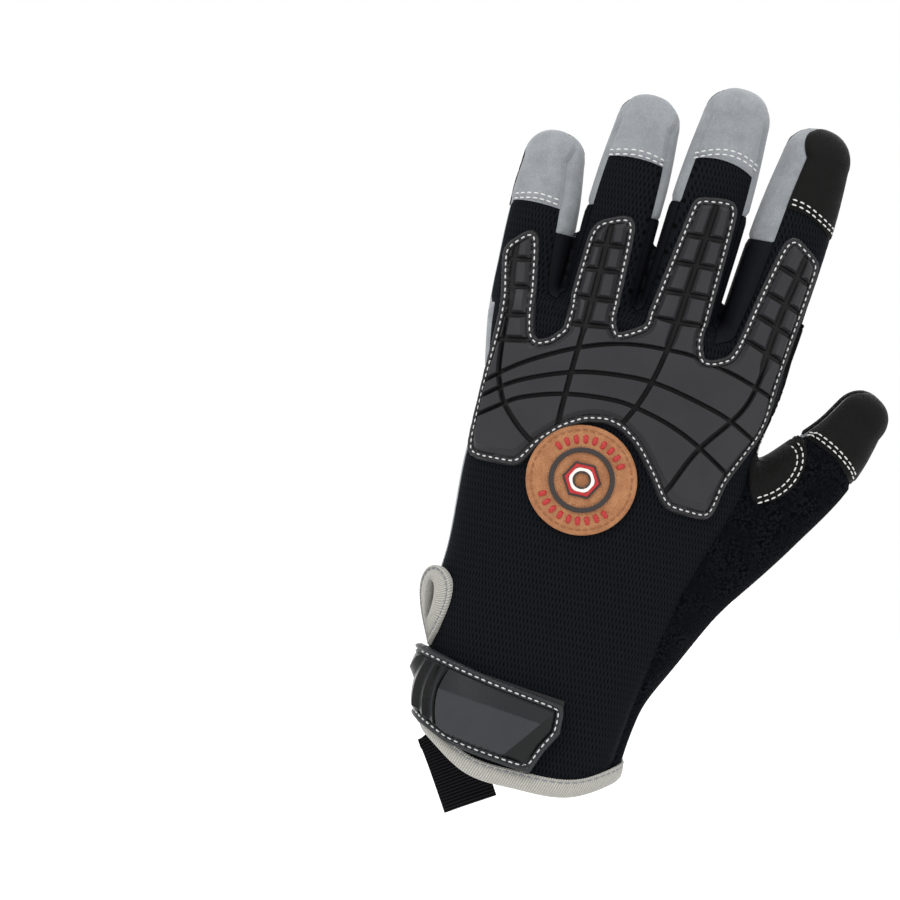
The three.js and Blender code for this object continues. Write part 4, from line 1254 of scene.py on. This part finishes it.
def guard():
    """A moulded guard: a rim that is sewn down, and blocks inside it that rise over chamfers
    from the grooves between them. Each chamfer is (distance - start) / width, from 0 to 1."""
    outline = curved(GUARD, closed=True, rounding=0.36)
    rim = 1.7
    data, tri = sheet_mesh(outline, -1, beyond=rim, wrap=-0.5)
    place = data["place"]
    # Chamfers are wider on the fingers' lobes and, at the rim, at the two lower ends
    lobe = smooth_step((place[:, 2] - 148) / 5)
    foot = smooth_step((108 - place[:, 2]) / 6)
    data["edge_rise"] = (-data["in_edge"] - rim - 0.8) / (1.9 + 1.3 * foot)
    data["long_rise"] = (groove_distance(place, LENGTHWISE) - 0.62) / (0.35 + 0.9 * lobe)
    data["arc_rise"] = (groove_distance(place, ARCS) - 0.55) / 0.3
    data["cross_rise"] = (groove_distance(place, cross_lines()) - 0.5) / 0.9
    rises = ("edge_rise", "long_rise", "arc_rise", "cross_rise")
    for name in rises:
        for level in (0, 1):
            data, tri = cut(data, tri, name, level, both=True)
    rise = least(*[np.clip(data[name], 0, 1) for name in rises])
    groove = least(data["long_rise"], data["arc_rise"], data["cross_rise"])
    inside_rim = -data["in_edge"]
    round_edge = np.sqrt(1 - (1 - np.clip(inside_rim / 0.9, 0, 1)) ** 2)
    lip = 2.1 * round_edge - 0.75 * np.exp(-(((inside_rim - rim) / 0.55) ** 2))
    blocks = GUARD_BASE + (GUARD_TOP - GUARD_BASE) * rise
    top = np.where(data["edge_rise"] > 0, np.maximum(blocks, GUARD_BASE), lip)
    points, faces = closed(data, tri, top, -0.3)
    # Painted shade for the material: the grooves' floors and lower chamfers are darkened towards black, and
    # the rim is left plain
    groove = np.where(data["edge_rise"] > 0, groove, 1)
    shade_and_height = np.stack([np.clip(groove, -1, 2), top], 1)
    piece("back_guard", points, faces, MOULDED, ["back_armour"], sharp=24,
          cloth=np.concatenate([shade_and_height, shade_and_height]))
    sew_round(outline, -1, (0,), lift=1.35, pitch=2.3, length=1.65, width=0.6, height=0.55)


guard()


# Round badge with a plain hexagon nut

BADGE = (-4.5, 100.0)
BADGE_RADIUS = 18.7


def turned(name, profile, material, nodes=(), corners=0):
    """A ring on the back of the hand: a closed profile of (radius, height) carried round the
    badge's centre. With corners, the radius follows a polygon: r cos(pi/n) / cos(angle in side)."""
    profile = np.array(profile, float)
    sides = 96
    a = np.arange(sides) * 2 * math.pi / sides
    shape = np.ones(sides)
    if corners:
        part = 2 * math.pi / corners
        shape = math.cos(part / 2) / np.cos(a % part - part / 2)
    r = profile[None, :, 0] * shape[:, None]
    x = BADGE[0] + r * np.cos(a)[:, None]
    z = BADGE[1] + r * np.sin(a)[:, None]
    place, out = onto(np.stack([x.ravel(), z.ravel()], 1), -1)
    points = place + out * np.tile(profile[:, 1], sides)[:, None]
    return piece(name, points, loops(sides, len(profile)), material, nodes, sharp=32)


def loops(rows, columns, close_rows=True):
    """Faces of a grid of points that closes on itself, across and, unless told not to, along."""
    i, j = np.meshgrid(np.arange(rows if close_rows else rows - 1), np.arange(columns), indexing="ij")
    i, j = i.ravel(), j.ravel()
    k, l = (i + 1) % rows, (j + 1) % columns
    return np.stack([i * columns + j, i * columns + l, k * columns + l, k * columns + j], 1)


def round_badge(radius, angles):
    """Places on the back of the hand round the badge's centre, normals, and ways out in (x, z)."""
    reach = np.stack([np.cos(angles), np.sin(angles)], 1)
    place, out = onto(np.array(BADGE) + radius * reach, -1)
    return place, out, reach


def badge():
    """A stitched leather disc, a dark ring, a hexagon nut and two arcs of bars, as rings whose
    profiles are (radius, height over the skin)."""
    top = 2.6
    edge = [(0.03, top), (9, top), (14, top), (16.2, top), (16.9, top - 0.3), (17.5, top), (18.2, top - 0.15),
            (BADGE_RADIUS, top - 0.6), (BADGE_RADIUS, 0.9), (18.2, 0.2), (0.03, 0.2)]
    turned("badge_leather", edge, BADGE_PAINT, ["badge_disc"])
    place, out, _ = round_badge(16.9, np.linspace(0, 2 * math.pi, 120, endpoint=False))
    sew(place, out, "tan", lift=top - 0.25, pitch=2.5, length=1.7, width=0.6, height=0.45, closed=True)
    high = top + 0.9
    ring = [(9.4, high - 0.2), (9.7, high), (10.8, high), (11.1, high - 0.2), (11.1, top - 0.2),
            (9.4, top - 0.2)]
    turned("badge_dark_ring", ring, DARK, ["badge_ring"])
    rim = [(2.7, high), (3.1, high + 0.15), (6.3, high + 0.15), (6.7, high - 0.1), (6.7, top - 0.2),
           (2.7, top - 0.2)]
    turned("badge_nut_rim", rim, DARK, ["badge_nut"], corners=6)
    red = [(4.6, high), (4.7, high + 0.45), (5.7, high + 0.45), (5.9, high + 0.2), (5.9, high),
           (4.6, high - 0.1)]
    turned("badge_nut_red", red, RED, corners=6)
    white = [(3.0, high), (3.2, high + 0.4), (4.2, high + 0.4), (4.35, high + 0.2), (4.35, high),
             (3.0, high - 0.1)]
    turned("badge_nut_white", white, WHITE)
    angles = np.radians(np.concatenate([np.arange(32, 149, 13), np.arange(212, 329, 13)]))
    place, out, reach = round_badge(13.9, angles)
    along = np.stack([reach[:, 0], np.zeros(len(reach)), reach[:, 1]], 1)
    along -= out * (along * out).sum(1, keepdims=True)
    along /= np.linalg.norm(along, axis=1, keepdims=True)
    bars = beads(place + out * (top + 0.15), along, out, 3.2, 1.5, 0.9)
    piece("badge_bars", bars[0], list(bars[1:]), RED, sharp=50)


badge()


# Bindings: tape folded over the hem and round the wrist slit


# Middle of the wrist across the hand, and half the angle that the slit leaves open there
WRIST_MIDDLE = -3.5
SLIT_ANGLE = 0.085


def hem_loop(level, count=260):
    """A closed line round the skin at a height over the hem, from the slit round to the slit."""
    start = math.pi + SLIT_ANGLE
    a = start + np.linspace(0, 2 * math.pi - 2 * SLIT_ANGLE, count)
    x = WRIST_MIDDLE + 34 * np.cos(a)
    y = 22 * np.sin(a)
    p = np.stack([x, y, np.zeros(count)], 1)
    for _ in range(12):
        hem = read(HEM_LINE, p[:, 0])[0]
        p[:, 2] = (level + hem + p[:, 1] * math.sin(HEM_TILT)) / math.cos(HEM_TILT)
        away = np.stack([p[:, 0] - WRIST_MIDDLE, p[:, 1], np.zeros(count)], 1)
        away /= np.linalg.norm(away, axis=1, keepdims=True)
        p = p - away * hand(p)[:, None]
    return p, outward(p)


# Section of the hem tape: how far out of the skin, and how high over the hem
HEM_SECTION = [(0.1, 5.1), (0.75, 5.2), (1.15, 4.7), (0.85, 4.1), (1.3, 3.3), (1.45, 1.8), (1.35, 0.3),
               (0.7, -0.8), (-0.6, -1.2), (-1.9, -0.9), (-2.7, 0.1), (-2.9, 1.8), (-2.8, 4.2), (-2.2, 5.0),
               (-1.6, 4.6), (-1.4, 2.5), (-0.4, 2.5)]


def hem_binding():
    """Tape folded over the hem: its section carried round the skin. A point is mixed between the
    line at the hem and the line at the tape's height, and moved outwards."""
    low, low_out = hem_loop(0.0)
    high, high_out = hem_loop(BINDING_HEIGHT)
    section = np.array(HEM_SECTION)
    out = low_out + high_out
    out /= np.linalg.norm(out, axis=1, keepdims=True)
    share = (section[:, 1] / BINDING_HEIGHT)[None, :, None]
    points = low[:, None] * (1 - share) + high[:, None] * share + out[:, None] * section[None, :, :1]
    count, width = points.shape[:2]
    run = np.concatenate([[0], np.cumsum(np.linalg.norm(np.diff(low, axis=0), axis=1))])
    girth = np.concatenate([[0], np.cumsum(np.linalg.norm(np.diff(section, axis=0), axis=1))])
    cloth = np.stack([np.repeat(run, width), np.tile(girth, count)], 1)
    faces = loops(count, width, close_rows=False)[:, ::-1]
    ends = np.stack([np.arange(width), (count - 1) * width + np.arange(width)[::-1]])
    piece("hem_tape", points.reshape(-1, 3), [faces, ends], BINDING, ["cuff_binding"], cloth=cloth)
    place = low * 0.18 + high * 0.82
    sew(place, out, "blue", lift=0.85, pitch=2.6, length=2.0, width=0.5, height=0.4)


hem_binding()


def vent():
    """Tape folded round the top of the wrist slit, as a drop-shaped lip that gapes. Round it,
    across = a sin t sin(t/2)^m and up = -b cos t. It is carried in to a narrow slit."""
    count, width, height = 120, 15.4, 25.8
    t = np.linspace(0, 2 * math.pi, count, endpoint=False)
    reach = width / 2 * 1.12 * np.sin(t) * np.abs(np.sin(t / 2)) ** 1.3
    outer = np.stack([reach, -height / 2 * np.cos(t)], 1)
    inner = np.stack([0.75 * np.sin(t) - 0.7, 2.2 - 4.6 * np.cos(t)], 1)
    # Share of the way in, and height over the skin
    section = np.array([(0, -1.2), (0, 0.4), (0.03, 1.0), (0.1, 1.25), (0.17, 0.75), (0.22, 0.8),
                        (0.36, 1.9), (0.58, 2.7), (0.78, 2.4), (0.92, 1.3), (1, -0.4), (1, -2.2),
                        (0.5, -2.4)])
    share = section[:, 0][None, :, None]
    flat = outer[:, None] * (1 - share) + inner[:, None] * share
    angle = math.radians(38)
    right = np.array([math.cos(angle), -math.sin(angle), 0])
    face = np.array([-math.sin(angle), -math.cos(angle), 0])
    middle = np.array([-43.9, -9.8, 47.2])
    lean = np.array([-0.12, 0, 1.05])
    bend = -0.028 * np.maximum(flat[..., 0], 0) ** 2
    lift = section[:, 1][None, :] + bend
    points = middle + flat[..., :1] * right + flat[..., 1:] * lean + lift[..., None] * face
    faces = loops(count, len(section))
    run = np.tile(np.arange(count)[:, None] * 0.55, (1, len(section)))
    steps = np.linalg.norm(np.diff(section * [6, 1], axis=0), axis=1)
    girth = np.tile(np.cumsum(np.concatenate([[0], steps])), (count, 1))
    cloth = np.stack([run.ravel(), girth.ravel()], 1)
    piece("vent_tape", points.reshape(-1, 3), faces[:, ::-1], BINDING, ["vent_binding"],
          cloth=cloth)
    row = points[8:-8, 4]
    sew(row, np.tile(face, (len(row), 1)), "blue", lift=0.15, pitch=2.0, length=1.4, width=0.4, height=0.35)


vent()


# Wrist strap with its moulded cover

STRAP_BACK = np.array([(-90, 31.5), (-40, 31.5), (-30, 29.6), (-10, 27.4), (6.5, 25.9), (7.5, 15), (2, 4.5),
                       (0, -0.9), (-10, 1), (-20, 2.5), (-30, 4.5), (-38, 7), (-44, 11), (-90, 13.5)], float)
STRAP_PALM = np.array([(-90, 31.5), (-20.3, 32.2), (-20.3, 14.3), (-44, 12.8), (-90, 13.5)], float)
COVER = np.array([(-90, 31), (-45, 31), (-20, 26.5), (5, 23), (5.5, 21), (5.5, 15), (2, 9), (-1, 1.5),
                  (-20, 3.5), (-30, 5), (-40, 9), (-46, 12.5), (-90, 16)], float)
# Height over the skin at which the cover's outline is read, and how far under that its foot is
COVER_LIFT = 4.6
COVER_FOOT = 2.9
# The skin round the strap: between two heights, and short of a line towards the thumb
STRAP_LOW = -4
STRAP_HIGH = 40
STRAP_INNER = 14


def flat_distance(p, outline):
    """Distance in (x, z) to a closed outline, negative inside."""
    flat = p[:, [0, 2]]
    d = line_distance(flat, outline, closed=True)
    return np.where(inside(flat, outline), -d, d)


def under_lifted(line, side, lift):
    """Places on the skin from which a height along the normal arrives at a line of (x, z)."""
    line = np.asarray(line, float)
    drawn = line
    for _ in range(4):
        _, out = onto(drawn, side)
        drawn = line - out[:, [0, 2]] * lift
    return onto(drawn, side)


def strap_skin():
    """The skin round the strap, made finer twice."""
    place = skin["place"]
    near = (place[:, 2] > STRAP_LOW) & (place[:, 2] < STRAP_HIGH) & (place[:, 0] < STRAP_INNER)
    data, tri = part_of({"place": place, "out": skin["out"]}, skin_tri, near)
    for _ in range(2):
        data, tri = finer(data, tri)
    data["place"], data["out"] = settle(data["place"], 1)
    return data, tri


def strap():
    """The strap: a band from the palm round the little finger's side onto the back."""
    data, tri = strap_skin()
    p = data["place"]
    share = smooth_step((p[:, 1] + 6) / 12)
    data["band"] = (1 - share) * flat_distance(p, STRAP_BACK) + share * flat_distance(p, STRAP_PALM)
    data, tri = cut(data, tri, "band")
    edge = np.sqrt(1 - (1 - np.clip(-data["band"] / 0.9, 0, 1)) ** 2)
    points, faces = closed(data, tri, 0.9 + 1.9 * edge, 0.4)
    piece("strap_band", points, faces, WEBBING_PLAIN, ["wrist_strap"])


def toward(p, a, b):
    """Signed distance in (x, z) past the line from a to b, positive on its left."""
    ax, az = b[0] - a[0], b[1] - a[1]
    return ((p[:, 2] - a[1]) * ax - (p[:, 0] - a[0]) * az) / math.hypot(ax, az)


def strap_cover():
    """Moulded cover: a rim with a sewn groove, and a raised body of flat facets with a row of
    bent ribs at its outer end. Each facet falls off past its own fold line."""
    rim = 1.9
    data, tri = strap_skin()
    p = data["place"] + data["out"] * COVER_LIFT
    data["in_edge"] = flat_distance(p, COVER) - rim
    data["side"] = p[:, 1] + 3
    data, tri = cut(data, tri, "in_edge")
    data, tri = cut(data, tri, "side")
    p = data["place"] + data["out"] * COVER_LIFT
    data["edge_rise"] = (-data["in_edge"] - rim - 0.7) / 1.1
    data["upper"] = toward(p, (-34, 20.4), (-3.2, 17.2))
    data["corner"] = toward(p, (3.9, 21.8), (-7.4, 7.2))
    data["lower"] = -toward(p, (-33, 7.0), (-7.4, 7.2))
    bent = p[:, 0] + 1.0 - 0.018 * (p[:, 2] - 19) ** 2
    data["ribs"] = (bent + 34.2) / 3.3
    for name in ("upper", "corner", "lower", "ribs"):
        data, tri = cut(data, tri, name, 0, both=True)
    for level in (0, 1):
        data, tri = cut(data, tri, "edge_rise", level, both=True)
    for level in (-1, -2, -3, -0.35, -1.35, -2.35, -3.35):
        data, tri = cut(data, tri, "ribs", level, both=True)
    body = 3.3 - 0.2 * np.maximum(data["upper"], 0) - 0.28 * np.maximum(data["corner"], 0)
    body -= 0.12 * np.maximum(data["lower"], 0)
    phase = data["ribs"] - np.floor(data["ribs"])
    saw = np.where(phase > 0.65, (1 - phase) / 0.35, phase / 0.65)
    body = np.where(data["ribs"] < 0, 1.5 + 1.7 * saw, body)
    rise = np.clip(data["edge_rise"], 0, 1)
    inside_rim = -data["in_edge"]
    lip = 1.7 * np.sqrt(1 - (1 - np.clip(inside_rim / 0.8, 0, 1)) ** 2)
    lip -= 0.6 * np.exp(-(((inside_rim - rim) / 0.5) ** 2))
    top = np.where(data["edge_rise"] > 0, 1.0 + (body - 1.0) * rise, lip)
    points, faces = closed(data, tri, COVER_FOOT + top, COVER_FOOT - 0.6)
    # Painted shade of each facet: darker on the facets and rib faces that turn from the light, which the
    # material reads as it reads the height over a groove's floor
    shade = np.where(data["upper"] > 0, 0.16, 0.34)
    shade = np.where(data["corner"] > 0, 0.06, shade)
    shade = np.where(data["ribs"] < 0, np.where(phase > 0.65, 0.02, 0.22), shade)
    shade = np.where(data["edge_rise"] > 0, shade, 0.26)
    shade_and_height = np.stack([shade, top], 1)
    piece("strap_guard", points, faces, GLOSSY, ["strap_cover"], sharp=14,
          cloth=np.concatenate([shade_and_height, shade_and_height]))
    seam = curved([*COVER[1:-2], (-44, 11.5)], step=0.6, rounding=0.3)
    sew(*under_lifted(seam, -1, COVER_LIFT), lift=COVER_FOOT + 1.15, pitch=2.3, length=1.7)


strap()
strap_cover()

outline = curved(STRAP_BASE, closed=True, rounding=0.4)
patch("strap_base", outline, 1, height=1.3, rows=(3.6,))
sew_line([(-20, 31.6), (0, 31.4), (4.5, 30.6), (7.2, 28.5), (7.4, 26), (5.2, 20.5), (0.8, 14.8), (-2.5, 14.3),
          (-20, 14.8)], 1, lift=1.15)


def pull_tab():
    """Ribbed webbing that hangs past the hem: a flat section carried down a line that bends away
    from the cuff, with a thicker folded end."""
    rows, columns, half = 60, 16, 9.6
    s = np.linspace(0, 1, rows)[:, None]
    start, end = np.array([-30.6, 5.6]), np.array([-15.4, -19.2])
    run = end - start
    length = np.linalg.norm(run)
    across = np.array([-run[1], run[0]]) / length
    t = np.linspace(-1, 1, columns)[None, :]
    x = start[0] + run[0] * s + across[0] * t * half
    z = start[1] + run[1] * s + across[1] * t * half
    base, _ = onto(np.stack([x.ravel(), np.maximum(z.ravel(), -2)], 1), 1)
    y = np.minimum(base[:, 1], 21).reshape(x.shape) + 1.6 + 1.2 * np.sin(s * 2.4)
    swell = 0.7 + 0.35 * smooth_step((s - 0.86) / 0.06)
    round_side = np.sqrt(1 - np.abs(t) ** 8) * 0.85 + 0.15
    thick = swell * round_side * np.sqrt(1 - np.clip((s - 0.985) / 0.015, 0, 1) ** 2 * 0.8)
    front = np.stack([x, y - thick, z], -1)
    back = np.stack([x, y + thick, z], -1)[:, ::-1]
    points = np.concatenate([front, back], 1)
    wide = 2 * columns
    girth = np.tile(np.concatenate([t, t[:, ::-1]], 1) * half, (rows, 1))
    cloth = np.stack([girth, np.tile(s * length, (1, wide))], -1)
    faces = loops(rows, wide, close_rows=False)
    ends = np.stack([np.arange(wide)[::-1], (rows - 1) * wide + np.arange(wide)])
    piece("pull_tab_webbing", points.reshape(-1, 3), [faces, ends], WEBBING, ["pull_tab"],
          cloth=cloth.reshape(-1, 2))


pull_tab()


# Stitches on the caps, patches and thumb

for line in (
    [(-48, 189), (-41, 190.8), (-33, 189.8)],
    [(-20, 210.6), (-10, 212.9), (-0.8, 211)],
    [(8.6, 215.8), (14, 218.3), (20, 219.6), (26, 218.6), (30.6, 216.4)],
    [(44.5, 208), (50, 207.4), (61, 201.6)],
    [(66.5, 134.3), (80, 128.4), (89, 120.6)],
):
    for shift in (0.4, 2.1):
        sew_line([(x, z + shift) for x, z in line], -1, lift=0.45)
for line in (
    [(-46.5, 187.4), (-27.5, 187.4)],
    [(-17, 202.4), (1.5, 202.4)],
    [(11, 202.9), (30.5, 202.9)],
    [(39, 197.4), (59.5, 197.4)],
):
    for shift in (1.3, 2.9):
        sew_line([(x, z + shift) for x, z in line], 1, lift=1.0)

sewn_up()


# Stage: floor, lights and camera

FLOOR_HEIGHT = -60.0
FLOOR_RADIUS = 6000.0
FLOOR_SIDES = 64
# The view: metres from the glove, width that it shows there, roll, and what it looks at
VIEW_DISTANCE = 1.25
VIEW_WIDTH = 0.306
ROLL = math.radians(13)
VIEW_MIDDLE = (-0.0503, -0.015, 0.1)
FILM_WIDTH = 36


def stage():
    """A pale floor in a white surround, soft lights, and the photograph's view: along +Y from
    far off with a long lens, rolled so that the fingers lean to the right."""
    a = np.arange(FLOOR_SIDES) * 2 * math.pi / FLOOR_SIDES
    height = np.full(FLOOR_SIDES, FLOOR_HEIGHT)
    rim = np.stack([FLOOR_RADIUS * np.cos(a), FLOOR_RADIUS * np.sin(a), height], 1)
    ground = mesh_object("floor", rim, [np.arange(FLOOR_SIDES)[None]], 180)
    paint = Paint("studio_floor", Roughness=0.9, Base_Color=(0.25, 0.25, 0.25, 1))
    ground.data.materials.append(paint.finish(Emission_Color=(1, 1, 1, 1), Emission_Strength=0.93))

    world = bpy.data.worlds.new("studio")
    bpy.context.scene.world = world
    world.use_nodes = True
    surround = world.node_tree.nodes["Background"]
    surround.inputs["Color"].default_value = (1, 1, 1, 1)
    surround.inputs["Strength"].default_value = 1.0

    def light(name, at, aim, size, power):
        """A round soft light of a size in metres, turned to what it aims at."""
        lamp = bpy.data.lights.new(name, "AREA")
        lamp.shape = "DISK"
        lamp.size = size
        lamp.energy = power
        made = bpy.data.objects.new(name, lamp)
        bpy.context.scene.collection.objects.link(made)
        made.location = Vector(at)
        made.rotation_euler = (Vector(aim) - Vector(at)).to_track_quat("-Z", "Y").to_euler()

    middle = (0.0, 0.0, 0.11)
    light("key", (-0.9, -1.1, 1.2), middle, 0.7, 10)
    light("fill", (1.2, -1.0, 0.5), middle, 0.9, 3)
    light("top", (0.1, 0.1, 1.5), middle, 0.8, 5)
    light("behind", (0.3, 1.0, 0.9), middle, 0.9, 5)

    lens = bpy.data.cameras.new("camera")
    camera = bpy.data.objects.new("camera", lens)
    bpy.context.scene.collection.objects.link(camera)
    bpy.context.scene.camera = camera
    lens.sensor_width = FILM_WIDTH
    lens.lens = FILM_WIDTH * VIEW_DISTANCE / VIEW_WIDTH
    lens.clip_end = 20
    up = Vector((-math.sin(ROLL), 0, math.cos(ROLL)))
    right = Vector((math.cos(ROLL), 0, math.sin(ROLL)))
    back = right.cross(up)
    turn = Matrix((right, up, back)).transposed()
    x, y, z = VIEW_MIDDLE
    camera.matrix_world = Matrix.Translation((x, y - VIEW_DISTANCE, z)) @ turn.to_4x4()
    bpy.context.scene.view_settings.view_transform = "Standard"


stage()
